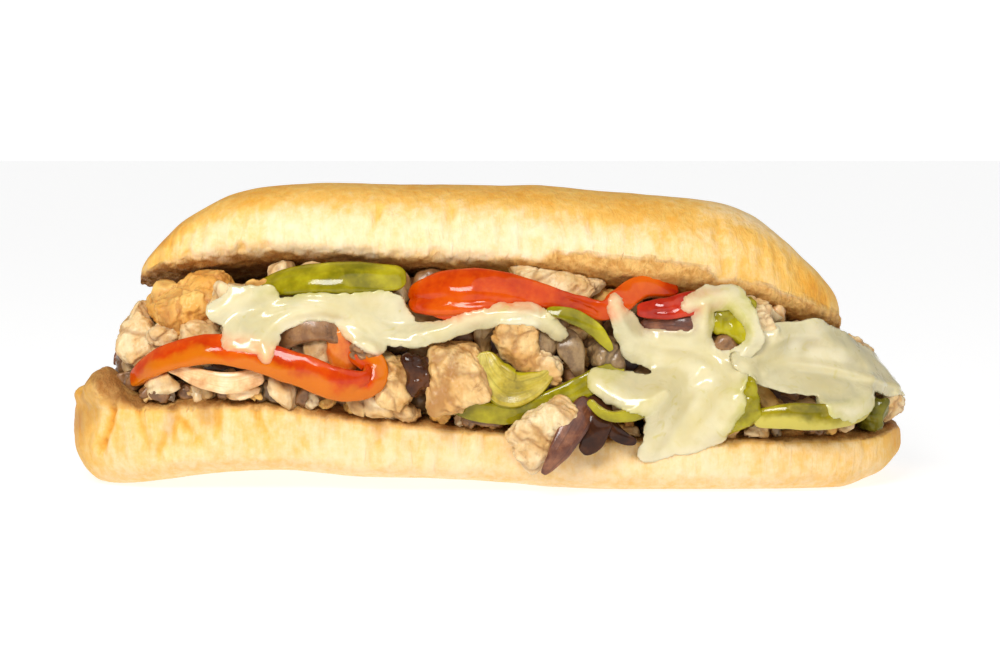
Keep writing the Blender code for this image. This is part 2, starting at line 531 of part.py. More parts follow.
def cheese(name, strands, holes, turn, thickness, step, tree):
    """Melted cheese: a sheet that lies against the filling, taut over its hollows."""
    facing = Vector((math.sin(math.radians(turn)), -math.cos(math.radians(turn)), 0))
    along = Vector((-facing.y, facing.x, 0))
    beads = [bead for strand in strands for bead in strand]
    low_u = min(u - r for u, z, r in beads) - step
    low_z = min(z - r for u, z, r in beads) - step
    nu = int((max(u + r for u, z, r in beads) + step - low_u) / step) + 1
    nz = int((max(z + r for u, z, r in beads) + step - low_z) / step) + 1

    def stand_out(u, z):
        start = (along * u + facing * 160 + Vector((0, 0, z))) * MM
        place = tree.ray_cast(start, -facing)[0]
        return -60.0 if place is None else place.dot(facing) / MM

    # how far the filling stands out, as the most over the corners of each cell
    level = {}
    for i in range(nu):
        for k in range(nz):
            level[i, k] = max(stand_out(low_u + (i + di) * step, low_z + (k + dk) * step)
                              for di in (-0.8, 0, 0.8) for dk in (-0.8, 0, 0.8))
    inside = {(i, k) for i, k in level
              if strand_distance(low_u + i * step, low_z + k * step, strands, holes) < step}
    floor = sorted(level[key] for key in inside)[len(inside) // 6]
    level = {key: max(floor, value) for key, value in level.items()}
    for _ in range(6):
        level = {(i, k): max(value, sum(level.get((i + di, k + dk), value)
                                        for di, dk in ((1, 0), (-1, 0), (0, 1), (0, -1))) / 4)
                 for (i, k), value in level.items()}

    # the sheet is laid out flat as (along, up, out) and then turned
    shape = bmesh.new()
    bmesh.ops.create_grid(shape, x_segments=nu - 1, y_segments=nz - 1, size=0.5)
    for vert in shape.verts:
        i, k = round((vert.co.x + 0.5) * (nu - 1)), round((vert.co.y + 0.5) * (nz - 1))
        vert.co = Vector((low_u + i * step, low_z + k * step, level[i, k] + GAP))
    outside = [face for face in shape.faces
               if sum(strand_distance(v.co.x, v.co.y, strands, holes) < 0.35 * step for v in face.verts) < 3]
    bmesh.ops.delete(shape, geom=outside, context="FACES")
    pinched = [vert for vert in shape.verts if sum(edge.is_boundary for edge in vert.link_edges) > 2]
    while pinched:
        faces = {min(vert.link_faces, key=lambda face: len([e for e in face.edges if not e.is_boundary]))
                 for vert in pinched}
        bmesh.ops.delete(shape, geom=list(faces), context="FACES")
        pinched = [vert for vert in shape.verts if sum(edge.is_boundary for edge in vert.link_edges) > 2]
    for vert in shape.verts:
        if vert.is_boundary:
            u, z = vert.co.x, vert.co.y
            out = strand_distance(u, z, strands, holes)
            slope = Vector((strand_distance(u + 0.1, z, strands, holes) - out,
                            strand_distance(u, z + 0.1, strands, holes) - out)) * 10
            move = max(-0.6 * step, min(0.6 * step, -out))
            vert.co.x += slope.x * move
            vert.co.y += slope.y * move
    made = bmesh.ops.extrude_face_region(shape, geom=shape.faces[:])
    for vert in [part for part in made["geom"] if isinstance(part, bmesh.types.BMVert)]:
        depth = max(0.0, -strand_distance(vert.co.x, vert.co.y, strands, holes))
        vert.co.z += thickness * (0.45 + 0.55 * min(1.0, depth / 2.5))
    for vert in shape.verts:
        vert.co = (along * vert.co.x + Vector((0, 0, vert.co.y)) + facing * vert.co.z) * MM
    mesh = bpy.data.meshes.new(name)
    shape.to_mesh(mesh)
    shape.free()
    return new_object(name, mesh, look_of(name))


def tree_of(bodies):
    """One search tree over all the bodies' faces."""
    corners, faces = [], []
    for body in bodies:
        first = len(corners)
        corners.extend(vert.co.copy() for vert in body.data.vertices)
        faces.extend([first + k for k in face.vertices] for face in body.data.polygons)
    return BVHTree.FromPolygons(corners, faces)


clear_scene()
collection = bpy.data.collections.new("submarine_sandwich")
bpy.context.scene.collection.children.link(collection)
cutters = bpy.data.collections.new("cutters")
bpy.context.scene.collection.children.link(cutters)

bottom = loaf("bun_bottom", bottom_point, 24, 24)
top = loaf("bun_top", top_point, 22, 22)
pieces = []
for name, (points, thickness, crown) in STRIPS.items():
    pieces.append(strip(name, points, thickness, crown, 8, 2))
for name, (centre, size, turn, seed) in CHUNKS.items():
    pieces.append(new_object(name, chunk_mesh(name, centre, size, turn, seed, 2), look_of(name)))
for body in [bottom, top] + pieces:
    settle_faces(body)

# The pieces nearest the outside stay whole, and those behind are cut back from them.
pieces.sort(key=lambda body: -sum(abs(vert.co.y) for vert in body.data.vertices) / len(body.data.vertices))
swollen = [swollen_copy(bottom), swollen_copy(top)]
for body in pieces:
    grown = swollen_copy(body)
    cut_clear(body, swollen)
    swollen.append(grown)

heap = loaf("filling_heap", heap_point, 14, 20)
fuse_bits(heap)
cut_clear(heap, swollen)

skins = [bottom, top, heap] + pieces
tree = tree_of(skins)
for name, (strands, holes, lean, thickness, step) in CHEESES.items():
    sheet = cheese(name, strands, holes, lean, thickness, step, tree)
    settle_faces(sheet)
    cut_clear(sheet, swollen)
    grown = swollen_copy(sheet)
    swollen.append(grown)

for copy in list(cutters.objects):
    bpy.data.objects.remove(copy)
bpy.data.collections.remove(cutters)

# The finished sandwich stands with the middle of its box over the origin.
spots = [vert.co for body in collection.objects for vert in body.data.vertices]
shift = Vector(((min(c.x for c in spots) + max(c.x for c in spots)) / -2,
                (min(c.y for c in spots) + max(c.y for c in spots)) / -2, -min(c.z for c in spots)))
for body in collection.objects:
    body.data.transform(Matrix.Translation(shift))
    if body.name.startswith(SMOOTH):
        body.data.shade_smooth()
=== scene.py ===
# A hot submarine sandwich: a split roll, chopped chicken, peppers, onion, mushroom and melted cheese.
# Sizes are in millimetres and are moved to metres where a mesh is finished.
import math
import random
import time

import bmesh
import bpy
import numpy as np
from mathutils import Matrix, Vector, noise
from mathutils.bvhtree import BVHTree


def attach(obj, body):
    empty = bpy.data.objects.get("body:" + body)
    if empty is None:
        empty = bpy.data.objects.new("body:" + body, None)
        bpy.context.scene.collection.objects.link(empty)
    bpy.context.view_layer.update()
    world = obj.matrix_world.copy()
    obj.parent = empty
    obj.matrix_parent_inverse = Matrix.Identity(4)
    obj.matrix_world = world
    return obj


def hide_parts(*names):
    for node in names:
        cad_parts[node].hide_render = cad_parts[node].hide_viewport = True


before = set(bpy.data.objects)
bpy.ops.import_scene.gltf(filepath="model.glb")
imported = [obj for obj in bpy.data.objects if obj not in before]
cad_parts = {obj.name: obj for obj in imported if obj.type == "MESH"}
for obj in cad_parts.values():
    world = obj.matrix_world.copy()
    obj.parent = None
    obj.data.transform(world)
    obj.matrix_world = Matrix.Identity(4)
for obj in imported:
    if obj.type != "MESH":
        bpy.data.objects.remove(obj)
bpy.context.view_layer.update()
startTime = time.time()

mm = 0.001
# the tables count from the roll's middle line, the frame from the box's middle
frameShift = Vector((1.29, 3.44, 0.0))
pieces = []  # every finished piece, for the cheese to lie on


def say(text):
    print("%5.1f s  %s" % (time.time() - startTime, text))


# camera and light
camera = {"lens": 85.0, "distance": 708.3, "height": 6.0, "lookAt": (1.5, 0.0, 43.0)}
lights = [
    # name, kind, where it stands, width, depth (or angle in degrees), power, colour
    ("key", "AREA", (-270, -740, 520), 420, 240, 6.0, (1.0, 0.99, 0.97)),
    ("fill", "SUN", (480, -850, 820), 60, 0, 0.9, (1.0, 1.0, 0.99)),
]
lampAim = (0, 0, 40)
# brightness at the horizon and above it, over a band of heights, and its share behind the camera
world = {"colour": (1.0, 1.0, 0.995), "horizon": 1.05, "above": 0.34, "band": (0.05, 0.14),
         "front": 0.45, "turn": (0.5, -0.2)}
floor = {"size": 6000, "colour": (0.4, 0.4, 0.4), "roughness": 0.7, "specular": 0.2, "lit": 0.76}


def addCamera():
    data = bpy.data.cameras.new("camera")
    data.lens = camera["lens"]
    data.sensor_width = 36
    data.clip_start = 0.01
    eye = bpy.data.objects.new("camera", data)
    bpy.context.scene.collection.objects.link(eye)
    tip = math.radians(camera["height"])
    away = Vector((0, -math.cos(tip), math.sin(tip))) * camera["distance"]
    eye.location = (Vector(camera["lookAt"]) + frameShift + away) * mm
    eye.rotation_euler = (math.radians(90 - camera["height"]), 0, 0)
    bpy.context.scene.camera = eye


def addLights():
    for name, kind, place, width, depth, power, colour in lights:
        data = bpy.data.lights.new(name, kind)
        if kind == "AREA":
            data.shape = "RECTANGLE"
            data.size = width * mm
            data.size_y = depth * mm
        else:
            data.angle = math.radians(width)
        data.energy = power
        data.color = colour
        lamp = bpy.data.objects.new(name, data)
        bpy.context.scene.collection.objects.link(lamp)
        lamp.location = Vector(place) * mm
        towards = Vector(lampAim) * mm - lamp.location
        lamp.rotation_euler = towards.to_track_quat("-Z", "Y").to_euler()


def addWorld():
    # a white backdrop behind the roll, dimmer overhead and behind the camera
    sky = bpy.data.worlds.new("studio")
    sky.use_nodes = True
    nodes, links = sky.node_tree.nodes, sky.node_tree.links
    parts = nodes.new("ShaderNodeSeparateXYZ")
    links.new(nodes.new("ShaderNodeTexCoord").outputs["Generated"], parts.inputs[0])
    both = nodes.new("ShaderNodeMath")
    both.operation = "MULTIPLY"
    fades = [("Z", (*world["band"], world["horizon"], world["above"])), ("Y", (*world["turn"], 1, world["front"]))]
    for socket, (axis, values) in zip(both.inputs, fades):
        fade = nodes.new("ShaderNodeMapRange")
        links.new(parts.outputs[axis], fade.inputs["Value"])
        for name, value in zip(("From Min", "From Max", "To Min", "To Max"), values):
            fade.inputs[name].default_value = value
        links.new(fade.outputs[0], socket)
    nodes["Background"].inputs["Color"].default_value = (*world["colour"], 1)
    links.new(both.outputs[0], nodes["Background"].inputs["Strength"])
    bpy.context.scene.world = sky
    bpy.context.scene.view_settings.view_transform = "Standard"


def addFloor():
    shape = bmesh.new()
    bmesh.ops.create_grid(shape, x_segments=1, y_segments=1, size=floor["size"] / 2 * mm)
    mesh = bpy.data.meshes.new("floor")
    shape.to_mesh(mesh)
    shape.free()
    ground = bpy.data.objects.new("floor", mesh)
    bpy.context.scene.collection.objects.link(ground)
    plain = bpy.data.materials.new("floorPaint")
    plain.use_nodes = True
    shader = plain.node_tree.nodes["Principled BSDF"]
    shader.inputs["Base Color"].default_value = (*floor["colour"], 1)
    shader.inputs["Roughness"].default_value = floor["roughness"]
    shader.inputs["Specular IOR Level"].default_value = floor["specular"]
    shader.inputs["Emission Color"].default_value = (1, 1, 1, 1)
    shader.inputs["Emission Strength"].default_value = floor["lit"]
    mesh.materials.append(plain)


# materials
def fromScreen(*rgb):
    # linear colour of a screen colour given from 0 to 255
    return tuple(c / 255 / 12.92 if c / 255 <= 0.04045 else ((c / 255 + 0.055) / 1.055) ** 2.4 for c in rgb)


class Recipe:
    # a material under construction, with short calls for the nodes that food needs

    def __init__(self, name):
        self.material = bpy.data.materials.new(name)
        self.material.use_nodes = True
        self.tree = self.material.node_tree
        self.shader = self.tree.nodes["Principled BSDF"]
        self.place = self.tree.nodes.new("ShaderNodeTexCoord").outputs["Object"]

    def node(self, kind, values=(), **settings):
        made = self.tree.nodes.new(kind)
        for key, value in settings.items():
            setattr(made, key, value)
        for key, value in dict(values).items():
            self.put(made.inputs[key], value)
        return made

    def put(self, socket, value):
        if isinstance(value, bpy.types.NodeSocket):
            self.tree.links.new(value, socket)
        else:
            socket.default_value = value

    def noise(self, size, detail=4, roughness=0.55, stretch=(1, 1, 1), place=None, distortion=0.0):
        # size is the width of a patch in millimetres
        spread = self.node("ShaderNodeMapping", {"Vector": place or self.place, "Scale": stretch})
        made = self.node("ShaderNodeTexNoise", {"Vector": spread.outputs[0], "Scale": 1000 / size, "Detail": detail,
                                                "Roughness": roughness, "Distortion": distortion})
        return made.outputs["Fac"]

    def stops(self, value, *stops):
        # colour ramp: each stop is (position, colour)
        made = self.node("ShaderNodeValToRGB", {"Fac": value})
        ramp = made.color_ramp
        while len(ramp.elements) < len(stops):
            ramp.elements.new(1)
        for element, (position, colour) in zip(ramp.elements, stops):
            element.position = position
            element.color = (*colour, 1)
        return made.outputs["Color"]

    def span(self, value, low, high, toLow=0.0, toHigh=1.0):
        made = self.node("ShaderNodeMapRange", {"Value": value, "From Min": low, "From Max": high,
                                                "To Min": toLow, "To Max": toHigh}, interpolation_type="SMOOTHSTEP")
        return made.outputs[0]

    def blend(self, share, under, over):
        made = self.node("ShaderNodeMix", data_type="RGBA")
        self.put(made.inputs[0], share)
        self.put(made.inputs[6], under if isinstance(under, bpy.types.NodeSocket) else (*under, 1))
        self.put(made.inputs[7], over if isinstance(over, bpy.types.NodeSocket) else (*over, 1))
        return made.outputs[2]

    def sum(self, first, second, how="ADD"):
        return self.node("ShaderNodeMath", {0: first, 1: second}, operation=how).outputs[0]

    def own(self, name):
        return self.node("ShaderNodeAttribute", attribute_name=name).outputs["Fac"]

    def bump(self, height, depth, strength=1.0, under=None):
        # depth is the height of the relief in millimetres
        values = {"Height": height, "Distance": depth * mm, "Strength": strength}
        if under:
            values["Normal"] = under
        return self.node("ShaderNodeBump", values).outputs[0]

    def finish(self, colour, roughness, normal=None, **constants):
        self.put(self.shader.inputs["Base Color"], colour)
        self.put(self.shader.inputs["Roughness"], roughness)
        if normal:
            self.put(self.shader.inputs["Normal"], normal)
        for key, value in constants.items():
            self.shader.inputs[key.replace("_", " ")].default_value = value
        return self.material


softGlow = {"Subsurface_Weight": 0.18, "Subsurface_Radius": (1.0, 0.55, 0.3), "Subsurface_Scale": 0.003}

breadLook = {
    "crust": [(0.0, fromScreen(246, 224, 188)), (0.25, fromScreen(243, 211, 157)), (0.5, fromScreen(238, 188, 96)),
              (0.75, fromScreen(230, 164, 58)), (1.0, fromScreen(206, 128, 40))],
    "crumb": fromScreen(243, 193, 114), "crumbDeep": fromScreen(211, 151, 74), "juice": fromScreen(150, 92, 34),
}


def makeBread():
    mix = Recipe("bread")
    crumb = mix.own("crumb")
    baked = mix.own("bake")
    blotch = mix.noise(15, 5, 0.62, stretch=(1, 1, 0.6))
    speckle = mix.noise(2.6, 4, 0.65)
    shade = mix.sum(baked, mix.span(blotch, 0.3, 0.7, -0.08, 0.08))
    shade = mix.sum(shade, mix.span(speckle, 0.3, 0.7, -0.08, 0.08))
    wrinkles = mix.noise(5.5, 4, 0.6, stretch=(2.2, 1.4, 0.45), distortion=0.4)
    # paler on the ridges of the wrinkles and browner in their grooves: painted highlight and shade
    shade = mix.sum(shade, mix.span(wrinkles, 0.3, 0.7, 0.06, -0.06))
    crust = mix.stops(shade, *breadLook["crust"])
    fine = mix.noise(1.3, 5, 0.7)
    clumps = mix.noise(3.2, 4, 0.65, distortion=0.6)
    crumbColour = mix.blend(mix.span(clumps, 0.34, 0.62), breadLook["crumbDeep"], breadLook["crumb"])
    # juice stains, and painted shade on the crumb under the filling and under the top half, in one dark brown
    soakedAndShaded = mix.sum(mix.own("juice"), mix.span(mix.noise(7, 4, 0.6), 0.3, 0.6, 0.35, 1.0), "MULTIPLY")
    colour = mix.blend(crumb, crust, crumbColour)
    colour = mix.blend(soakedAndShaded, colour, breadLook["juice"])
    crustSkin = mix.bump(mix.noise(0.9, 4, 0.6), 0.14, 0.6)
    crustSkin = mix.bump(wrinkles, 1.1, 0.7, crustSkin)
    torn = mix.sum(mix.sum(clumps, fine), crumb, "MULTIPLY")
    normal = mix.bump(torn, 1.2, 0.8, crustSkin)
    rough = mix.span(baked, 0.3, 0.9, 0.64, 0.5)
    return mix.finish(colour, rough, normal, Specular_IOR_Level=0.3, Coat_Weight=0.03, Coat_Roughness=0.4, **softGlow)


def makeMeat(name, pale, warm, seared, searedShare, wet=0.45, patch=9.0, gloss=0.15):
    # the attribute deep is 1 down in the clefts of a torn piece, which are darkened there as painted shade
    mix = Recipe(name)
    deep = mix.own("deep")
    cloud = mix.noise(patch, 5, 0.6)
    fibre = mix.noise(1.5, 5, 0.65, stretch=(1, 1, 0.35))
    colour = mix.blend(mix.span(cloud, 0.36, 0.64), pale, warm)
    sear = mix.span(mix.noise(patch * 0.6, 6, 0.7, distortion=0.5), 1 - searedShare - 0.04, 1 - searedShare + 0.14)
    colour = mix.blend(mix.sum(sear, 0.75, "MULTIPLY"), colour, seared)
    colour = mix.blend(mix.span(fibre, 0.42, 0.68, 0.0, 0.45), colour, warm)
    # painted shade: the clefts and fibre grooves take the seared tone
    colour = mix.blend(mix.sum(deep, 0.55, "MULTIPLY"), colour, seared)
    normal = mix.bump(fibre, 0.45, 0.7)
    normal = mix.bump(mix.noise(3.0, 4, 0.6), 0.6, 0.5, normal)
    rough = mix.span(mix.noise(4, 3), 0.3, 0.7, wet, wet + 0.22)
    return mix.finish(colour, rough, normal, Specular_IOR_Level=0.3, Coat_Weight=gloss, Coat_Roughness=0.2,
                      Subsurface_Weight=0.12, Subsurface_Radius=(1.0, 0.5, 0.3), Subsurface_Scale=0.0015)


def makeSkin(name, main, light, dark, coat=0.75, flesh=None):
    # glossy vegetable skin with broad tone changes; flesh is the colour along one edge of the piece
    mix = Recipe(name)
    cloud = mix.noise(11.0, 4, 0.55)
    colour = mix.stops(cloud, (0.28, dark), (0.5, main), (0.72, light))
    streak = mix.noise(2.5, 3, 0.5)
    colour = mix.blend(mix.span(streak, 0.45, 0.75, 0.0, 0.3), colour, light)
    if flesh:
        run = mix.node("ShaderNodeUVMap", uv_map="run").outputs[0]
        across = mix.node("ShaderNodeSeparateXYZ", {0: run}).outputs["Y"]
        wander = mix.sum(across, mix.span(mix.noise(9, 3), 0.3, 0.7, -0.22, 0.22))
        colour = mix.blend(mix.span(wander, 0.62, 0.22, 0.0, 0.85), colour, flesh)
        colour = mix.blend(mix.span(mix.noise(2.0, 4, 0.6), 0.55, 0.8, 0.0, 0.35), colour, flesh)
    normal = mix.bump(mix.noise(0.8, 2), 0.05, 0.3)
    normal = mix.bump(mix.noise(4.5, 3), 0.5, 0.4, normal)
    rough = mix.span(cloud, 0.3, 0.7, 0.2, 0.34)
    return mix.finish(colour, rough, normal, Specular_IOR_Level=0.0, Coat_Weight=coat, Coat_Roughness=0.1,
                      Subsurface_Weight=0.08, Subsurface_Radius=(1.0, 0.4, 0.15), Subsurface_Scale=0.0015)


def makeFlesh(name, main, light, dark):
    # the wet inner side of a cut vegetable, with fine lines along the piece
    mix = Recipe(name)
    run = mix.node("ShaderNodeUVMap", uv_map="run").outputs[0]
    lines = mix.noise(120, 4, 0.6, stretch=(0.04, 0.9, 1), place=run)
    cloud = mix.noise(6, 4, 0.6)
    colour = mix.stops(cloud, (0.3, dark), (0.5, main), (0.7, light))
    colour = mix.blend(mix.span(lines, 0.42, 0.66, 0.0, 0.5), colour, dark)
    normal = mix.bump(lines, 0.4, 0.6)
    normal = mix.bump(mix.noise(1.5, 4), 0.3, 0.45, normal)
    return mix.finish(colour, 0.36, normal, Specular_IOR_Level=0.3, Coat_Weight=0.5, Coat_Roughness=0.14,
                      Subsurface_Weight=0.2, Subsurface_Radius=(1.0, 0.6, 0.25), Subsurface_Scale=0.002)


cheeseLook = {"main": fromScreen(212, 197, 143), "thick": fromScreen(226, 215, 174), "oil": fromScreen(200, 184, 90)}


def makeCheese():
    # the attribute thin is 1 where the cheese lets through what lies below, whose colour is in under
    mix = Recipe("cheese")
    cloud = mix.noise(11, 3, 0.5)
    colour = mix.stops(cloud, (0.35, cheeseLook["main"]), (0.65, cheeseLook["thick"]))
    below = mix.node("ShaderNodeAttribute", attribute_name="under").outputs["Color"]
    streaks = mix.span(mix.noise(5, 4, 0.6, distortion=0.8), 0.35, 0.65, 0.45, 0.95)
    colour = mix.blend(mix.sum(mix.own("thin"), streaks, "MULTIPLY"), colour, below)
    spots = mix.span(mix.noise(5, 3, 0.5, distortion=1.0), 0.6, 0.76, 0.0, 0.5)
    colour = mix.blend(spots, colour, cheeseLook["oil"])
    normal = mix.bump(mix.noise(8, 2, 0.4), 0.7, 0.35)
    normal = mix.bump(mix.noise(1.6, 3, 0.5), 0.06, 0.3, normal)
    rough = mix.span(mix.noise(5, 3), 0.3, 0.7, 0.24, 0.4)
    return mix.finish(colour, rough, normal, Specular_IOR_Level=0.2, Coat_Weight=0.9, Coat_Roughness=0.14,
                      Subsurface_Weight=0.25, Subsurface_Radius=(1.0, 0.75, 0.45), Subsurface_Scale=0.002)


# screen tones pale, warm and seared; then the seared share, roughness, patch in millimetres and gloss
meats = {
    "chicken": ((238, 215, 170), (214, 170, 106), (148, 92, 38), 0.4),
    "chickenWarm": ((232, 198, 138), (208, 156, 86), (140, 84, 34), 0.42),
    "chickenGolden": ((240, 196, 112), (228, 166, 76), (168, 98, 38), 0.45),
    "mushroom": ((166, 122, 76), (126, 86, 50), (66, 42, 24), 0.42, 0.3, 6.0, 0.5),
    "mushroomGrey": ((160, 130, 88), (112, 84, 54), (58, 42, 28), 0.42, 0.3, 5.0, 0.5),
    # the core's dark brown stands for sauce and for painted shade in the gaps between the bits
    "sauce": ((110, 68, 34), (80, 46, 22), (46, 26, 14), 0.4, 0.3, 7.0, 0.5),
}
# screen tones main, light and dark; then the gloss and the flesh that shows along one edge
skins = {
    "redSkin": ((198, 64, 0), (216, 94, 8), (162, 28, 0), 0.6),
    "redPeeled": ((200, 62, 2), (216, 92, 6), (176, 40, 2), 0.6, (206, 112, 10)),
    # a darker copy of the red skin: painted shade for the strip that lies under the top half
    "shadedRedSkin": ((178, 40, 18), (206, 66, 26), (116, 18, 10)),
    "greenSkin": ((140, 128, 6), (186, 174, 26), (92, 88, 4)),
    "greenPeeled": ((138, 122, 8), (176, 160, 26), (84, 80, 4), 0.75, (202, 186, 84)),
    "darkGreenSkin": ((108, 102, 26), (146, 136, 44), (60, 56, 12), 0.5),
    "onionBlack": ((62, 32, 16), (104, 60, 30), (28, 14, 8), 0.5),
}
fleshes = {
    "redFlesh": ((222, 118, 26), (234, 150, 52), (204, 74, 14)),
    "greenFlesh": ((186, 162, 40), (218, 200, 92), (120, 104, 14)),
    "onion": ((144, 88, 56), (194, 138, 92), (82, 42, 28)),
    "onionSkin": ((108, 60, 38), (160, 104, 68), (60, 28, 20)),
    "onionPale": ((240, 202, 148), (248, 226, 188), (206, 146, 86)),
}


def makeMaterials():
    made = {"bread": makeBread(), "cheese": makeCheese()}
    for make, table in ((makeMeat, meats), (makeSkin, skins), (makeFlesh, fleshes)):
        for name, row in table.items():
            made[name] = make(name, *[fromScreen(*value) if isinstance(value, tuple) else value for value in row])
    return made


# shaping
def smoothValue(stations, x):
    # height at x of a smooth curve through (x, height) stations
    if x <= stations[0][0]:
        return stations[0][1]
    if x >= stations[-1][0]:
        return stations[-1][1]
    last = len(stations) - 1
    i = max(k for k in range(last) if stations[k][0] <= x)
    (x0, v0), (x1, v1) = stations[i], stations[i + 1]
    xa, va = stations[max(i - 1, 0)]
    xb, vb = stations[min(i + 2, last)]
    span = x1 - x0
    t = (x - x0) / span
    slope0 = (v1 - va) / (x1 - xa) * span
    slope1 = (vb - v0) / (xb - x0) * span
    return ((2 * t**3 - 3 * t**2 + 1) * v0 + (t**3 - 2 * t**2 + t) * slope0
            + (3 * t**2 - 2 * t**3) * v1 + (t**3 - t**2) * slope1)


def curveThrough(points, t):
    # point at t, from 0 to 1, of a smooth curve through rows of numbers
    last = len(points) - 1
    place = t * last
    i = min(int(place), last - 1)
    u = place - i
    rows = [points[max(i - 1, 0)], points[i], points[i + 1], points[min(i + 2, last)]]
    made = []
    for a, b, c, d in zip(*rows):
        square, cube = 2 * a - 5 * b + 4 * c - d, 3 * b - a - 3 * c + d
        made.append(0.5 * (2 * b + (c - a) * u + square * u**2 + cube * u**3))
    return made


def signedPower(value, power):
    return math.copysign(abs(value) ** power, value)


def endTaper(s, fullness, roundness):
    # 1 along the middle and 0 at both ends of a loaf, where s runs from -1 to 1
    return max(0.0, 1 - abs(s) ** fullness) ** (1 / roundness)


def ease(low, high, value):
    t = max(0.0, min(1.0, (value - low) / (high - low)))
    return t * t * (3 - 2 * t)


def rough(place, size, octaves=3):
    # smooth random value from about -1 to 1, with patches of the given size in millimetres
    return noise.fractal(place / size, 0.9, 2.1, octaves)


def outwards(x, y, straight=85.0):
    # level direction away from the sandwich's middle line, which turns round its two ends
    return Vector((x - max(-straight, min(straight, x)), y, 0)).normalized()


def pieceName(node):
    first, *rest = node.split("_")
    return first + "".join(word.capitalize() for word in rest)


def addPiece(node, shape, materials):
    # turns a finished bmesh in millimetres into a piece that stands for a CAD node
    bmesh.ops.transform(shape, matrix=Matrix.Scale(mm, 4) @ Matrix.Translation(frameShift), verts=shape.verts)
    mesh = bpy.data.meshes.new(pieceName(node))
    for face in shape.faces:
        face.smooth = True
    shape.to_mesh(mesh)
    shape.free()
    for name in materials:
        mesh.materials.append(finishes[name])
    piece = bpy.data.objects.new(pieceName(node), mesh)
    bpy.context.scene.collection.objects.link(piece)
    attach(piece, "root")
    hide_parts(node)
    pieces.append(piece)
    return piece


# the two halves of the roll
bottomHalf = {
    "halfLength": 123.5, "centre": -2.0, "halfWidth": 37.5, "dish": 1.5, "lip": 4.0,
    "arch": [(-126, 0), (-112, 0.6), (-98, 2.2), (-86, 4), (-74, 5.2), (-62, 5.6), (-50, 4.8), (-38, 3.7),
             (-20, 3.3), (-8, 2.8), (4, 1.7), (16, 0.8), (30, 0.1), (40, 0), (101, 0), (109, 2.4), (114, 4.2),
             (118, 6.2), (126, 11)],
    "rim": [(-126, 28.5), (-97, 28.5), (-67, 29), (-44, 25.5), (-20, 22.5), (2, 21), (30, 18.5),
            (71, 18), (97, 18), (110, 18.5), (122, 20)],
}
topHalf = {
    "halfLength": 104.5, "centre": -1.6, "halfWidth": 35.5, "tilt": math.radians(16), "lip": 7.0,
    "arch": [(-106, 58), (-84, 59.5), (-64, 60), (-36, 58.5), (-10, 57), (13, 55), (33, 52), (58, 49.5),
             (75, 47.5), (90, 44.5), (103, 44.5)],
    "crown": [(-106, 3), (-103, 7), (-97, 12), (-90, 17), (-77, 23), (-55, 26.7), (-30, 27.9), (0, 29.8),
              (30, 32.3), (55, 33), (75, 31), (84, 27), (91, 21.5), (97, 15), (101, 10), (103, 6)],
}
breadMesh = {"around": 190, "rings": 350, "fine": 4000, "lumps": 0.8, "tornEdge": 0.6}


def bottomWidth(s):
    return bottomHalf["halfWidth"] * endTaper(s, 6.5, 2.2)


def cutHeight(x, y):
    # height of the bottom half's cut face
    half = bottomHalf
    s = max(-1.0, min(1.0, (x - half["centre"]) / half["halfLength"]))
    across = min(1.0, abs(y) / max(bottomWidth(s), 1.0))
    lip = half["lip"] * max(0.0, (abs(s) - 0.93) / 0.07)
    return smoothValue(half["rim"], x) - half["dish"] * (1 - across**2) * endTaper(s, 8, 1) + lip


def bottomPoint(s, angle):
    half = bottomHalf
    x = half["centre"] + half["halfLength"] * s
    widest = 0.6 * smoothValue(half["rim"], x)
    c, sn = math.cos(angle), math.sin(angle)
    arch = max(0.0, smoothValue(half["arch"], x))
    if sn >= 0:
        y = bottomWidth(s) * signedPower(c, 2 / 5.0)
        z = widest + (cutHeight(x, y) - widest) * sn ** (2 / 5.0) * endTaper(s, 16, 2)
    else:
        y = bottomWidth(s) * signedPower(c, 2 / 3.2)
        z = max(arch, widest - (widest - arch) * abs(sn) ** (2 / 3.2) * endTaper(s, 26, 2) * 1.1)
    return Vector((x, y, z))


def underHeight(x, y):
    # height of the top half's cut face
    return smoothValue(topHalf["arch"], x) - math.tan(topHalf["tilt"]) * y


def topPoint(s, angle):
    half = topHalf
    x = half["centre"] + half["halfLength"] * s
    crown = smoothValue(half["crown"], x)
    lip = min(half["lip"], 0.4 * crown)
    width = half["halfWidth"] * endTaper(s, 3.6, 2.1)
    c, sn = math.cos(angle), math.sin(angle)
    if sn >= 0:
        y, z = width * signedPower(c, 2 / 2.3), lip + (crown - lip) * sn ** (2 / 2.3)
    else:
        y, z = width * signedPower(c, 2 / 4.0), lip - lip * abs(sn) ** (2 / 4.0)
    turn = half["tilt"]
    y, z = y * math.cos(turn) + z * math.sin(turn), z * math.cos(turn) - y * math.sin(turn)
    return Vector((x, y, smoothValue(half["arch"], x) + z))


def evenAngles(point, count):
    # angles that divide the middle section of a loaf into equal steps
    steps = breadMesh["fine"]
    fine = [point(0.0, 2 * math.pi * k / steps) for k in range(steps + 1)]
    run = [0.0]
    for a, b in zip(fine, fine[1:]):
        run.append(run[-1] + (b - a).length)
    angles, k = [], 0
    for n in range(count):
        wanted = run[-1] * n / count
        while run[k + 1] < wanted:
            k += 1
        angles.append(2 * math.pi * (k + (wanted - run[k]) / (run[k + 1] - run[k])) / steps)
    return angles


creaseRange = {"along": (-116, 112), "length": (0.35, 1.0), "lean": 0.3, "width": (0.9, 1.9), "depth": (0.2, 0.75)}


def foldCreases(seed, count, low, high, longest, leaning):
    # short upright creases at random places along the roll: two ends, half width and depth
    draw = random.Random(seed)
    span = creaseRange
    made = []
    for _ in range(count):
        x = draw.uniform(*span["along"])
        z = draw.uniform(low, high)
        length = draw.uniform(*span["length"]) * longest
        lean = draw.uniform(-span["lean"], span["lean"]) + leaning * ease(-60, -110, x)
        made.append((x, z, x + lean * length, z - length, draw.uniform(*span["width"]), draw.uniform(*span["depth"])))
    return made
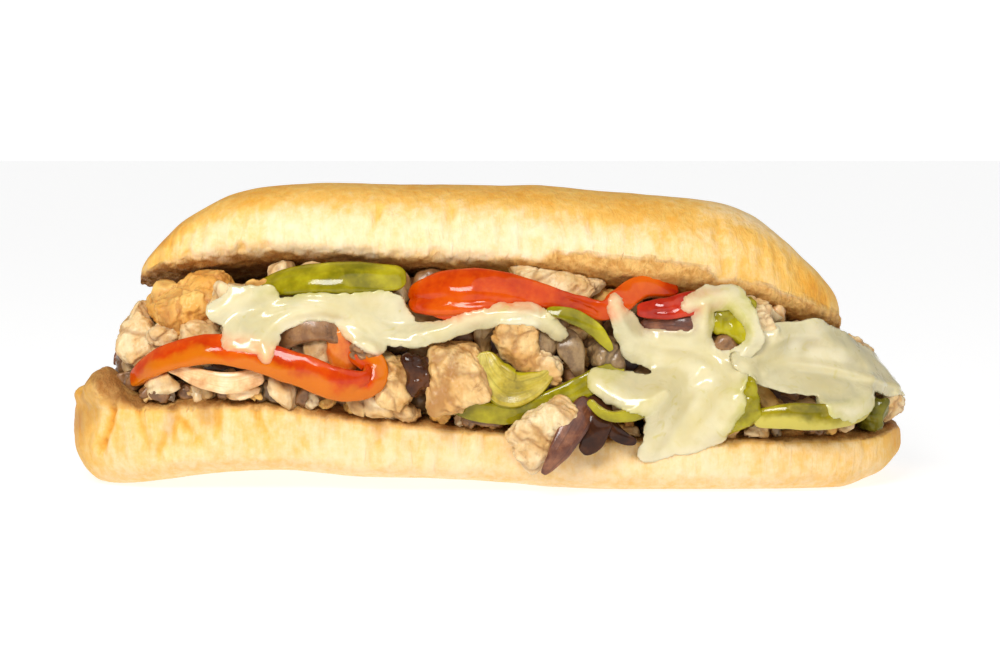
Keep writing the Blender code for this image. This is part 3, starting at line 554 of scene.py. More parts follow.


# how brown the crust is, from 0 to 1: all over, and what each place adds; the crease entries add painted shade in the
# grooves
bottomBake = {"all": 0.22, "ends": 0.34, "upperSide": 0.10, "underside": 0.06, "rim": 0.34, "lessOnCurl": 0.3,
              "left": 0.08, "right": 0.10, "crease": 0.08, "deepCreaseShade": 0.3}
topBake = {"all": 0.15, "crown": 0.46, "ends": 0.28, "side": 0.36, "leftSide": 0.4, "crease": 0.14,
           "lessFrontRight": 0.30, "back": 0.06}
creases = {
    # the ones that the left end shows clearly come first
    "bun_bottom": [(-108.7, 27, -115, 12, 1.3, 1.7), (-103, 25.7, -100, 14, 1.2, 1.2), (-93, 25.7, -82, 12, 1.3, 1.2),
                   (-79, 26, -80, 17, 1.1, 1.1), (-68, 25, -64, 13, 1.4, 1.1), (-56, 23, -54, 14, 1.1, 0.9)]
    + foldCreases(5, 60, 14, 25, 13, -0.5),
    "bun_top": foldCreases(6, 110, 66, 82, 15, 0.0),
}


def creaseAt(node, place):
    # depth of the creases at a place on the side of the roll
    depth = 0.0
    for xa, za, xb, zb, wide, deep in creases[node]:
        if min(xa, xb) - 5 < place.x < max(xa, xb) + 5:
            x, z = place.x + 0.8 * noise.noise(place / 5), place.z
            t = max(0.0, min(1.0, ((x - xa) * (xb - xa) + (z - za) * (zb - za)) / ((xb - xa) ** 2 + (zb - za) ** 2)))
            away = math.hypot(x - xa - t * (xb - xa), z - za - t * (zb - za)) / wide
            if away < 3:
                # a groove with a low swelling on each side, shallower towards its lower end
                depth += deep * (math.exp(-away * away) - 0.35 * math.exp(-(away - 1.7) ** 2 * 2)) * (1 - 0.5 * t)
    return depth


def bakeBread(node, point, relief):
    # a loaf: a sphere with its poles at the ends, moved point by point, then creased and roughened
    around, rings = breadMesh["around"], breadMesh["rings"]
    angles = evenAngles(point, around)
    shape = bmesh.new()
    bmesh.ops.create_uvsphere(shape, u_segments=around, v_segments=rings, radius=1)
    steps = {}
    for vert in shape.verts:
        s = max(-1.0, min(1.0, vert.co.z))
        n = round((math.atan2(vert.co.y, vert.co.x) % (2 * math.pi)) / (2 * math.pi) * around) % around
        steps[vert.index] = (s, angles[n])
        vert.co = point(s, angles[n])
    shape.normal_update()
    looks = [shape.verts.layers.float.new(name) for name in ("crumb", "bake", "juice")]
    places = []
    for vert in shape.verts:
        s, angle = steps[vert.index]
        rise, *values = relief(vert.co, vert.normal, s, angle)
        places.append(vert.co + vert.normal * rise)
        for layer, value in zip(looks, values):
            vert[layer] = value
    for vert, place in zip(shape.verts, places):
        vert.co = place
    addPiece(node, shape, ["bread"])


leftCurl = {"lip": 2.2, "corner": 9.0, "at": (-112.5, -21), "reach": (5, 11)}


def bottomRelief(place, normal, s, angle):
    top = ease(0.35, 0.8, normal.z)
    inward = abs(place.y) / max(bottomWidth(s), 1)
    crumb = top * ease(1.0, 0.95, inward) * ease(1.0, 0.985, abs(s))
    side = ease(0.35, 0.8, abs(normal.y) + abs(normal.x))
    crease = creaseAt("bun_bottom", place) * side
    rise = rough(place, 30) * breadMesh["lumps"] + rough(place, 7, 3) * 0.3 * side - crease
    rise += crumb * (rough(place, 3.5, 4) * 0.7)
    # the crust curls up round the left end, most at its front corner
    curl = ease(-0.885, -0.93, s)
    crumb *= 1 - curl
    (cornerX, cornerY), (reachX, reachY) = leftCurl["at"], leftCurl["reach"]
    rise += leftCurl["lip"] * top * ease(-0.9, -0.975, s) * ease(-1.0, -0.985, s)
    away = ((place.x - cornerX) / reachX) ** 2 + ((place.y - cornerY) / reachY) ** 2
    rise += leftCurl["corner"] * top * math.exp(-away)
    flat = ease(-0.75, -0.97, normal.z)
    rise *= 1 - flat * (1 if place.z < 1 else 0.5)
    brown = bottomBake
    bake = brown["all"] + brown["ends"] * ease(0.88, 1.0, abs(s)) + brown["upperSide"] * ease(6, 20, place.z) * side
    bake += brown["underside"] * ease(-0.3, -0.95, normal.z)
    bake += (brown["rim"] - brown["lessOnCurl"] * curl) * top * (1 - crumb)
    # the two crease terms here brown the grooves of the creases: painted shade
    bake += brown["left"] * ease(-40, -110, place.x) + brown["crease"] * max(0.0, crease)
    bake += brown["right"] * ease(60, 110, place.x)
    bake += brown["deepCreaseShade"] * max(0.0, crease - 0.5)
    # the cut face is stained by juice inward and darkened under the filling as painted shade; the drips down the side
    # are juice
    juice = crumb * ease(1.02, 0.9, inward) * 0.8
    drips = noise.noise(Vector((place.x / 9, 3.1, place.z / 16)))
    juice += 0.35 * side * ease(0.1, 0.45, drips) * ease(12, 21, place.z)
    return rise, crumb, bake, min(1.0, juice + 0.07 * side)


tornBand = {
    # how high the white crumb shows over the top half's cut edge, along the roll
    "front": [(-106, 1.2), (-60, 1.4), (-10, 2.0), (12, 3.0), (20, 6.5), (60, 7.0), (64, 4.0), (72, 5.0),
              (90, 5.0), (103, 2.5)],
    "back": 2.0, "fray": 1.3, "soft": 0.8,
}


def topRelief(place, normal, s, angle):
    crown = smoothValue(topHalf["crown"], place.x)
    lip = min(topHalf["lip"], 0.4 * crown)
    up = math.sin(angle)
    if up >= 0:
        height = lip + (crown - lip) * up ** (2 / 2.3)
    else:
        height = lip * (1 - abs(up) ** 0.5)
    band = smoothValue(tornBand["front"], place.x) if place.y < 0 else tornBand["back"]
    band += tornBand["fray"] * rough(place, 5, 3)
    crumb = ease(band + tornBand["soft"], band - tornBand["soft"], height)
    side = ease(0.3, 0.75, abs(normal.y)) * (1 - crumb)
    crease = creaseAt("bun_top", place) * side
    rise = rough(place, 32) * breadMesh["lumps"] + rough(place, 7, 3) * 0.25 * side - crease
    rise += crumb * (rough(place, 2.6, 4) * breadMesh["tornEdge"] + 0.3)
    brown = topBake
    bake = brown["all"] + brown["crown"] * ease(-0.1, 0.8, normal.z) * ease(0.25, 0.8, height / crown)
    # the crease term browns the grooves of the creases: painted shade
    bake += brown["ends"] * ease(0.78, 1.0, abs(s)) + brown["crease"] * max(0.0, crease)
    bake += brown["side"] * side * (ease(20, 85, place.x) + brown["leftSide"] * ease(-55, -95, place.x))
    bake -= brown["lessFrontRight"] * ease(30, 80, place.x) * ease(0.2, 0.8, normal.z) * ease(25, 0, place.y)
    if place.y > 0:
        bake += brown["back"]
    # painted shade: the crumb facing down under the top half is darkened, and all the crumb of its left end more so
    under = crumb * ease(0.0, -0.6, normal.z)
    juice = 0.3 * under + (0.15 * under + 0.4 * crumb) * ease(-10, -60, place.x)
    return rise, crumb, bake, min(1.0, juice)


# chopped pieces: middle, size along each axis, turn about Y in degrees, shape and material
chunks = {
    "chicken_end_left": ((-103.5, -17, 42.3), (14, 17, 12.5), 52, 3, "chicken"),
    "chicken_top_left": ((-88, -23, 53), (22, 18, 13.5), -18, 4, "chickenGolden"),
    "chicken_left_mid": ((-95.5, -25, 44.5), (9, 12, 8), 20, 5, "chicken"),
    "chicken_left_inner": ((-85, -28, 46), (12, 12, 8.5), -10, 6, "chicken"),
    "chicken_pale_left": ((-76, -29, 54), (12, 10, 9), 25, 7, "chicken"),
    "mushroom_end_left": ((-108, -19, 29.6), (10, 9, 6.5), -15, 8, "mushroom"),
    "chicken_mid_small": ((-28.5, -38, 32.5), (11, 9, 15), 12, 9, "chickenWarm"),
    "chicken_mid_big": ((-10, -39, 34.5), (17, 13, 18), -14, 10, "chickenWarm"),
    "chicken_upper": ((6, -37.5, 45), (13, 11, 11.5), 10, 11, "chickenWarm"),
    "mushroom_upper": ((13.5, -35, 44.8), (9, 9, 11), 25, 12, "mushroomGrey"),
    "chicken_small": ((14.5, -38.5, 38), (10, 8, 7.5), 30, 13, "chicken"),
    "mushroom_grey": ((31.5, -36.5, 41), (9, 8, 8), 0, 14, "mushroomGrey"),
    "chicken_under_bun": ((16.5, -29.8, 59.8), (22, 13, 9), 14, 45, "chicken"),
    "chicken_front": ((13.9, -42.5, 21), (22, 11, 12.5), -41, 16, "chicken"),
    "mushroom_bead": ((-37.5, -39, 42.3), (6.5, 6, 5.5), 10, 17, "mushroom"),
    "onion_bead": ((-21.5, -42, 36), (7.4, 6.6, 10.5), -12, 18, "onionBlack"),
    "pepper_green_block": ((69, -40, 26.5), (11, 9, 13), -18, 19, "greenSkin"),
    "pepper_green_hole": ((67, -32.3, 51.5), (12, 8, 13), 24, 20, "greenSkin"),
    "chicken_hole_right": ((75.5, -31, 49.5), (8, 8, 11), 0, 21, "chicken"),
    "pepper_dark_right": ((110, -23, 21.8), (7.5, 9, 9), 0, 22, "darkGreenSkin"),
    "chicken_right_corner": ((116, -12, 23.5), (9, 12, 9), -25, 23, "chicken"),
    "chicken_right_end": ((108, -8, 37.5), (10.5, 13, 7.5), 38, 24, "chicken"),
    "chicken_back_a": ((-62, 34, 37), (24, 13, 16), 12, 25, "chicken"),
    "chicken_back_b": ((-8, 35, 32), (19, 12, 14), -20, 26, "chickenGolden"),
    "chicken_back_c": ((52, 34, 30), (23, 13, 15), 15, 27, "chicken"),
    "chicken_back_end": ((92, 27, 30), (16, 13, 14), -12, 28, "chicken"),
    "mushroom_back": ((22, 35, 30), (13, 10, 12), 30, 29, "mushroom"),
    "chicken_back_left": ((-98, 22, 38), (16, 15, 14), 15, 30, "chicken"),
}
chunkDetail = {"fineOver": 15, "fine": 6, "plain": 5, "askew": 0.35, "corners": (0.75, 0.95), "bulge": 0.09,
               "lumpSize": 5.0, "lobeSize": 2.5, "lobeShare": 0.28, "cleft": 0.16}
# depth of the fibres, lumps and lobes in millimetres, and how sharp the corners are
chunkRelief = {"chicken": (0.4, 0.8, 0.5, 6), "mushroom": (0.3, 0.6, 0.5, 6), "onion": (0.0, 1.1, 0.0, 5),
               "pepper": (0.0, 1.1, 0.0, 5), "pepper_green_hole": (0.0, 1.1, 0.0, 10), "bits": (0.3, 0.7, 0.6, 6)}


def chunkPlanes(seed):
    # outward normals of a chunk's sides, each a little askew
    draw = random.Random(seed)
    planes = []
    for axis in ((1, 0, 0), (-1, 0, 0), (0, 1, 0), (0, -1, 0), (0, 0, 1), (0, 0, -1)):
        skew = Vector((draw.uniform(-chunkDetail["askew"], chunkDetail["askew"]) for _ in range(3)))
        planes.append((Vector(axis) + skew).normalized())
    for _ in range(3):
        corner = Vector((draw.choice((-1, 1)), draw.choice((-1, 1)), draw.choice((-1, 1)))).normalized()
        planes.append(corner * draw.uniform(*chunkDetail["corners"]))
    return planes


def growChunk(shape, middle, size, turn, seed, detail, fibres, lumps, lobes, sharp):
    # a torn block: flat sides with soft edges, clefts between its lobes, fibres along one direction
    planes = chunkPlanes(seed)
    placed = Matrix.Translation(Vector(middle)) @ Matrix.Rotation(math.radians(turn), 4, "Y")
    draw = random.Random(seed + 500)
    lie = draw.uniform(0, math.pi)
    grain = Vector((math.cos(lie), draw.uniform(-0.2, 0.2), math.sin(lie))).normalized()
    offset = Vector((seed * 7.3, seed * 3.1, 0))
    look = chunkDetail
    lobeSize = look["lobeSize"] + look["lobeShare"] * max(size)
    deep = shape.verts.layers.float.get("deep") or shape.verts.layers.float.new("deep")
    made = bmesh.ops.create_icosphere(shape, subdivisions=detail, radius=1)["verts"]
    for vert in made:
        direction = vert.co.normalized()
        reach = sum(max(0.0, direction.dot(normal)) ** sharp for normal in planes) ** (-1 / sharp)
        reach *= 1 + look["bulge"] * noise.noise(direction * 2.3 + Vector((seed, 0, 0)))
        vert.co = placed @ Vector(direction[k] * reach * size[k] / 2 for k in range(3))
    for face in {face for vert in made for face in vert.link_faces}:
        face.normal_update()
    places = []
    for vert in made:
        vert.normal_update()
        place = vert.co + offset
        rise = lumps * rough(place, look["lumpSize"])
        squeezed = place - grain * place.dot(grain) * 0.75
        cleft = 0.0
        if lobes:
            wander = place + Vector((rough(place, 3.5, 2), rough(place + offset, 3.5, 2), 0)) * 1.2
            nearest, second = noise.voronoi((wander - grain * wander.dot(grain) * 0.55) / lobeSize)[0][:2]
            cleft = ease(look["cleft"], 0.0, second - nearest)
            rise -= lobes * cleft
        if fibres:
            strand = 1 - abs(noise.noise(squeezed / 1.3)) * 2
            rise += fibres * (strand - 0.4) * (0.35 + 0.65 * ease(-0.3, 0.3, noise.noise(place / 6)))
            cleft = max(cleft, 0.7 * ease(0.3, -0.4, strand))
        # deep marks the clefts for the painted shade of the meat materials
        vert[deep] = cleft
        places.append(vert.co + vert.normal * rise)
    for vert, place in zip(made, places):
        vert.co = place
    return made


def chopPieces():
    look = chunkDetail
    for node, (middle, size, turn, seed, material) in chunks.items():
        shape = bmesh.new()
        detail = look["fine"] if max(size) > look["fineOver"] else look["plain"]
        relief = chunkRelief.get(node) or chunkRelief[node.split("_")[0]]
        growChunk(shape, middle, size, turn, seed, detail, *relief)
        addPiece(node, shape, [material])


# strips: points (x, y, z, width, lean) along the piece, thickness, crown, skin and flesh
strips = {
    "pepper_red_left": ([(-104, -25.5, 32, 5, 20), (-98.5, -31, 36.5, 7, 25), (-88, -37, 41, 8, 25),
        (-76, -40, 42.5, 8.5, 20), (-65, -42, 40.3, 8.5, 10), (-54, -43, 37, 9, 0), (-44, -43.5, 33.5, 9, -5),
        (-36, -42, 33.5, 7.5, -10), (-33.8, -40, 38, 7, -10), (-40, -38, 42.5, 6.5, 0)],
        3.6, 1.2, "redPeeled", "redFlesh"),
    "onion_white": ([(-93, -34, 37, 2.5, 5), (-84, -38, 34.4, 5, 0), (-75, -39.5, 33, 6, 0),
        (-66, -38, 35, 4.5, 0)], 2.6, 0.6, "onionPale", "onionPale"),
    "mushroom_left": ([(-63, -34, 42, 4, 10), (-58.5, -36.5, 47, 8.5, 15), (-51, -37.5, 49.5, 9.5, 20),
        (-44, -36.5, 47.5, 8, 15), (-38.5, -34, 43, 3, 10)], 3.5, 0.8, "mushroom", "mushroomGrey"),
    "pepper_green_top": ([(-73, -27, 56.5, 2, 35), (-62, -32, 60, 7, 35), (-50, -35, 61.8, 9.5, 35),
        (-38, -35, 62, 9.5, 35), (-26, -33, 62, 7.5, 40)], 3.2, 1.8, "greenSkin", "greenFlesh"),
    "pepper_red_top": ([(-23.5, -32, 56, 7, 15), (-17, -36, 57.6, 12, 20), (-7, -38, 58.8, 13.5, 25),
        (4, -38.5, 59, 10, 25), (15.5, -38, 57, 6.5, 20), (25.5, -37.5, 54.6, 5, 10), (31, -37.5, 53.6, 5.5, 0),
        (35.5, -36, 56, 7, 10), (42, -32, 59.3, 7, 30), (52, -28, 58.5, 6, 35)], 3.4, 1.8, "redSkin", "redFlesh"),
    "pepper_red_fold": ([(-22, -35, 55.4, 3, 0), (-15.5, -38, 54.2, 5, 0), (-8, -39.5, 53.4, 5.5, -5),
        (-1, -38.5, 54.6, 3, 0)], 2.6, 0.6, "redSkin", "redFlesh"),
    # its darker skin is painted shade under the top half
    "pepper_red_right": ([(41, -35, 53.5, 3.5, 0), (48, -37, 53.8, 5.5, 10), (55, -36.5, 55, 6.5, 20),
        (62, -33, 56.2, 5.5, 30), (70, -28, 56.5, 4, 35)], 3.0, 1.0, "shadedRedSkin", "redFlesh"),
    "onion_under_red": ([(42, -33, 48.5, 3, 10), (49, -36, 49.8, 5, 10), (55, -37, 49.6, 5, 5),
        (60, -36, 49.5, 2, 5)], 2.4, 0.6, "onionSkin", "onion"),
    "pepper_green_leaf": ([(14.5, -43, 54, 2, 20), (21, -43.5, 52.8, 4, 20), (27, -43, 49.6, 4.2, 10),
        (31, -42, 45.6, 3.2, 0), (33, -41, 42.5, 1.5, 0)], 1.6, 0.4, "greenSkin", "greenFlesh"),
    "pepper_green_mid": ([(-3, -39.5, 42, 6, -10), (-1, -42.5, 36, 10, -5), (5, -43.5, 31.5, 11, 0),
        (13, -42, 34, 6, 5), (17, -40, 38, 2.5, 10)], 3.2, -1.4, "greenFlesh", "greenSkin"),
    "pepper_green_long": ([(-15, -37.5, 28, 3, -10), (-7, -40, 25.6, 5.5, -10), (3, -41, 24.8, 6.5, -10),
        (14, -41.5, 27, 7, 0), (23, -41, 31, 7, 5), (30, -40, 34.8, 6, 10), (36, -38, 37.6, 4, 15)],
        2.6, 0.6, "greenSkin", "greenFlesh"),
    "mushroom_streaked": ([(20, -37, 47.5, 4.5, 10), (21.5, -39.5, 43, 7.5, 0), (23.5, -39, 37.5, 4, -5),
        (24.5, -37.5, 34.5, 2, -10)], 2.8, 0.8, "mushroomGrey", "mushroom"),
    "onion_front": ([(26.5, -41.5, 28.5, 6, 0), (22, -46, 21, 7.5, 0), (17.5, -48, 14, 5.5, -5),
        (13.5, -47.5, 8.5, 1.6, -10)], 2.4, 0.8, "onionSkin", "onion"),
    "onion_dark": ([(28, -39, 31, 7, 0), (29, -43, 24, 9, 0), (27.5, -44.5, 17.5, 7, -5), (24.5, -45, 14, 3, -10)],
        2.6, 0.8, "onionBlack", "onionSkin"),
    "onion_dark_tail": ([(31, -42.5, 23.5, 3.5, 0), (35, -43.5, 18.8, 4, 0), (40, -43.5, 16.8, 1.8, 0)],
        2.0, 0.4, "onionBlack", "onionSkin"),
    "pepper_green_edge": ([(26.5, -46, 29, 1.8, -30), (31, -47.5, 25.3, 3, -30), (38, -47.5, 25, 4, -30),
        (44, -47, 28, 4, -30), (48.5, -46, 31.5, 2, -30)], 1.8, 0.4, "greenSkin", "greenFlesh"),
    "pepper_green_right": ([(74, -40.5, 23.2, 4.5, 0), (83, -42.5, 24, 6.5, 5), (93, -41, 23.6, 6.5, 5),
        (102, -35, 24, 6, 0), (108, -29, 26.5, 3.5, 0)], 3.4, 1.0, "greenPeeled", "greenFlesh"),
    "pepper_red_back": ([(-50, 33, 45, 5, 25), (-38, 38, 46.5, 10, 20), (-24, 39.5, 43, 10, 15),
        (-10, 38.5, 41.5, 8.5, 10), (3, 35, 42.5, 4, 15)], 3.4, 1.6, "redSkin", "redFlesh"),
    "pepper_green_back": ([(24, 33, 40, 4, 20), (36, 38, 42, 9, 20), (50, 39.5, 41, 9.5, 15), (64, 38, 38.5, 8, 10),
        (76, 33, 37, 3, 15)], 3.2, 1.6, "greenSkin", "greenFlesh"),
    "pepper_green_back_low": ([(-38, 36, 26, 3.5, -10), (-29, 39.5, 27.5, 6.5, -5), (-20, 39.5, 28, 6.5, 0),
        (-12, 36.5, 30, 3, 5)], 3.0, 1.0, "greenSkin", "greenFlesh"),
    "pepper_red_end": ([(97, 30, 36, 3, 25), (106, 21, 35.5, 6, 25), (112, 9, 33, 7, 20), (114, -1, 29, 4, 10)],
        3.2, 1.0, "redSkin", "redFlesh"),
    "onion_end": ([(-113, -2, 35, 3, 10), (-112, 7, 37, 6, 15), (-106, 17, 38, 6.5, 20), (-99, 26, 36, 3, 20)],
        2.6, 0.8, "onionSkin", "onion"),
    "onion_back": ([(30, 36.5, 23.5, 3, -10), (38, 39.5, 22.5, 5.5, -5), (47, 39.5, 22.5, 5.5, -5),
        (56, 36.5, 24, 2.5, 0)], 2.4, 0.6, "onionSkin", "onion"),
}
# folds pressed into a strip: where it starts and ends (along from 0 to 1, across from -1 to 1), width and depth
stripFolds = {
    "pepper_red_top": [(0.02, -0.05, 0.36, -0.75, 0.13, 1.3), (0.5, 0.3, 0.62, -0.2, 0.12, 0.8)],
    "pepper_red_left": [(0.72, -0.2, 0.86, 0.5, 0.14, 0.9), (0.2, 0.1, 0.45, 0.3, 0.1, 0.4)],
    "pepper_green_top": [(0.1, 0.2, 0.9, 0.45, 0.12, 0.45)],
    "pepper_red_right": [(0.2, -0.3, 0.8, 0.2, 0.14, 0.7)],
    "pepper_green_right": [(0.1, 0.0, 0.8, 0.25, 0.12, 0.4)],
    "pepper_green_long": [(0.3, 0.2, 0.9, 0.0, 0.12, 0.35)],
}
stripDetail = {"alongStep": 1.0, "across": 8, "waves": 0.45, "waveSize": 7.5, "frayed": 0.35, "fraySize": 4.0,
               "endRound": 3.5, "levels": 1}


def cutStrips():
    look = stripDetail
    for node, (points, thickness, crown, skin, flesh) in strips.items():
        length = sum((Vector(a[:3]) - Vector(b[:3])).length for a, b in zip(points, points[1:]))
        steps = int(length / look["alongStep"])
        widest = max(point[3] for point in points)
        shape = bmesh.new()
        bmesh.ops.create_grid(shape, x_segments=steps, y_segments=look["across"], size=0.5)
        run = shape.loops.layers.uv.new("run")
        for face in shape.faces:
            for loop in face.loops:
                loop[run].uv = ((loop.vert.co.x + 0.5) * length / 10, loop.vert.co.y + 0.5)
        offset = Vector((len(node) * 11.0, points[0][0], 0))
        for vert in shape.verts:
            t, across = vert.co.x + 0.5, vert.co.y * 2
            x, y, z, width, lean = curveThrough(points, t)
            ahead = Vector(curveThrough(points, min(1, t + 0.01))[:3])
            behind = Vector(curveThrough(points, max(0, t - 0.01))[:3])
            along = (ahead - behind).normalized()
            facing = outwards(x, y) * math.cos(math.radians(lean)) + Vector((0, 0, math.sin(math.radians(lean))))
            facing = (facing - along * facing.dot(along)).normalized()
            side = facing.cross(along)
            # the two ends are rounded off
            fromEnd = min(t, 1 - t) * length / max(1.0, min(look["endRound"], width / 2))
            width *= max(0.3, math.sqrt(1 - (1 - min(1, fromEnd)) ** 2))
            rise = crown * min(1, width / widest) ** 2 * (1 - across**2)
            place = Vector((x, y, z)) + side * across * width / 2 + facing * rise
            wave = rough(place + offset, look["waveSize"], 2) * look["waves"]
            for ta, ca, tb, cb, wide, deep in stripFolds.get(node, []):
                part = max(0.0, min(1.0, (t - ta) / (tb - ta)))
                away = math.hypot((t - ta - part * (tb - ta)) * length / widest * 2, across - ca - part * (cb - ca))
                wave -= deep * math.exp(-((away / wide) ** 2))
            edge = rough(place + offset * 2, look["fraySize"], 2) * look["frayed"] * abs(across)
            vert.co = place + facing * wave + side * edge
        shape.normal_update()
        piece = addPiece(node, shape, [skin, flesh])
        wall = piece.modifiers.new("thickness", "SOLIDIFY")
        wall.thickness = thickness * mm
        wall.offset = 0
        wall.use_even_offset = False
        wall.material_offset = 1
        wall.material_offset_rim = 1
        soften = piece.modifiers.new("soften", "SUBSURF")
        soften.levels = soften.render_levels = look["levels"]


# the heap of chopped filling between the halves
heap = {
    "halfLength": 114.0, "centre": 0.5, "halfWidth": 30.5, "lump": 3.0, "clearance": 1.2,
    "top": [(-114, 34), (-108, 43), (-98, 49), (-88, 53), (-76, 55), (-67, 59), (-58, 75), (84, 75), (92, 46),
            (103, 40), (115, 27)],
    "around": 70, "rings": 90,
}
heapBits = {
    "count": 440, "tries": 5000, "seed": 77, "detail": 3, "batch": 25,
    "sizes": (5.0, 10.0), "apart": 0.66, "sunk": 0.4, "core": 1.4, "steep": 0.94, "endsAt": 109,
    "over": 0.25, "overAlong": (0.72, 0.96), "overAround": (0.1, 0.9),  # on top, at the two ends
    "rim": 100, "rimSizes": (2.6, 5.6), "rimAlong": (-0.8, 0.84), "rimAcross": (0.8, 0.93),
    "mix": [("chicken", 38), ("chickenWarm", 18), ("chickenGolden", 14), ("mushroom", 13), ("mushroomGrey", 7),
            ("onionPale", 8), ("redFlesh", 0), ("greenFlesh", 2)],
    # bits that the photo shows: middle, size, turn, shape, material
    "placed": [
        ((-94, -18, 55.5), (12, 10, 8), 15, 211, "chickenGolden"), ((-80, -22, 55), (10, 9, 7), -10, 212, "chicken"),
        ((-72, -26, 57), (9, 8, 6), 0, 213, "chicken"), ((-97, -10, 47), (9, 9, 8), 30, 214, "chicken"),
        ((-67, -29, 59.5), (8, 6, 5), 0, 215, "chickenGolden"), ((-50, -34.5, 41), (8, 6, 9), 10, 201, "chicken"),
        ((-43, -37, 41.5), (8, 5, 12), -20, 202, "redFlesh"), ((-33, -36.5, 25.5), (8, 6, 6), 15, 203, "chicken"),
        ((-26.5, -36.5, 24.5), (7, 6, 5), -10, 204, "chicken"), ((-39, -36.5, 27), (6, 5, 5), 25, 205, "chicken"),
        ((-3, -36, 22.5), (9, 5, 4), 5, 206, "mushroom"), ((-96, -31, 31), (9, 7, 6), -20, 207, "chicken"),
        ((-72, -36.5, 29.8), (8, 4, 3.5), 0, 208, "onionPale"), ((-61, -36.5, 30.5), (8, 6, 6), 30, 209, "chicken"),
        ((24, -37, 33), (7, 5, 6), 10, 210, "mushroom"), ((66, -34, 43.5), (8, 6, 5.5), 0, 218, "mushroom"),
    ],
}


def heapPoint(s, angle):
    x = heap["centre"] + heap["halfLength"] * s
    c, sn = math.cos(angle), math.sin(angle)
    y = heap["halfWidth"] * endTaper(s, 5, 2.2) * signedPower(c, 2 / 3.5)
    low = cutHeight(x, y) + heap["clearance"]
    high = max(low + 1, min(underHeight(x, y) - heap["clearance"], smoothValue(heap["top"], x)))
    z = (low + high) / 2 + (high - low) / 2 * signedPower(sn, 2 / 6.0) * endTaper(s, 12, 2)
    lump = noise.noise(Vector((x, y, z)) * 0.09) * heap["lump"]
    return Vector((x, y, z)) + outwards(x, y) * lump * abs(c)


def placeBits(names, shares):
    # middle, size, turn, shape and look of every chopped bit
    look = heapBits
    draw = random.Random(look["seed"])
    bits = []
    for _ in range(look["tries"]):
        # over the steep outer faces between the halves, a little apart from each other
        s = math.sin(draw.uniform(-0.5, 0.5) * math.pi)
        angle = math.asin(draw.uniform(-look["steep"], look["steep"]) ** 3) + draw.choice((0, math.pi))
        over = draw.random() < look["over"]
        if over:
            # on top, where the filling reaches past the upper half's ends
            s = draw.choice((-1, 1)) * draw.uniform(*look["overAlong"])
            angle = draw.uniform(*look["overAround"]) * math.pi
        middle = heapPoint(s, angle)
        size = [draw.uniform(*look["sizes"]) for _ in range(3)]
        middle -= (Vector((0, 0, 1)) if over else outwards(middle.x, middle.y)) * min(size) * look["sunk"]
        crowded = any((middle - other[0]).length < look["apart"] * (max(size) + max(other[1])) / 2 for other in bits)
        golden = middle.x < -72 and middle.z > 45 and middle.y < 0  # left to the golden piece
        if len(bits) < look["count"] and not crowded and not golden and abs(middle.x) < look["endsAt"]:
            kind = draw.choices(range(len(names)), shares)[0]
            if middle.x < -45 and middle.z > 50 and middle.y < 0:
                kind = 0
            bits.append((middle, size, draw.uniform(0, 180), draw.randrange(1000), kind))
    for _ in range(look["rim"]):
        # crumbs of the filling on the cut face of the bottom half, near its edge
        s = draw.uniform(*look["rimAlong"])
        x = bottomHalf["centre"] + bottomHalf["halfLength"] * s
        y = bottomWidth(s) * draw.choice((-1, -1, 1)) * draw.uniform(*look["rimAcross"])
        size = [draw.uniform(*look["rimSizes"]) for _ in range(3)]
        middle = Vector((x, y, cutHeight(x, y) + min(size) * 0.25))
        kind = (draw.uniform(0, 180), draw.randrange(1000), draw.choices(range(len(names)), shares)[0])
        bits.append((middle, size, *kind))
    for middle, size, turn, seed, name in look["placed"]:
        bits.append((Vector(middle), size, turn, seed, names.index(name)))
    return bits


def pileFilling():
    # a lumpy core, dark brown as sauce and as painted shade in the gaps, with chopped bits over the parts that show
    shape = bmesh.new()
    bmesh.ops.create_uvsphere(shape, u_segments=heap["around"], v_segments=heap["rings"], radius=1)
    for vert in shape.verts:
        place = heapPoint(max(-1.0, min(1.0, vert.co.z)), math.atan2(vert.co.y, vert.co.x))
        vert.co = place + outwards(place.x, place.y) * (rough(place, 4, 3) * 0.8 - heapBits["core"])
    names, shares = zip(*heapBits["mix"])
    bits = placeBits(names, shares)
    made = bpy.data.meshes.new("bits")
    for first in range(0, len(bits), heapBits["batch"]):
        # a few at a time, since each step on a large mesh is slow
        batch = bmesh.new()
        for middle, size, turn, seed, kind in bits[first:first + heapBits["batch"]]:
            bit = growChunk(batch, middle, size, turn, seed, heapBits["detail"], *chunkRelief["bits"])
            for face in {face for vert in bit for face in vert.link_faces}:
                face.material_index = kind + 1
        batch.to_mesh(made)
        batch.free()
        shape.from_mesh(made)
    addPiece("filling_heap", shape, ["sauce", *names])


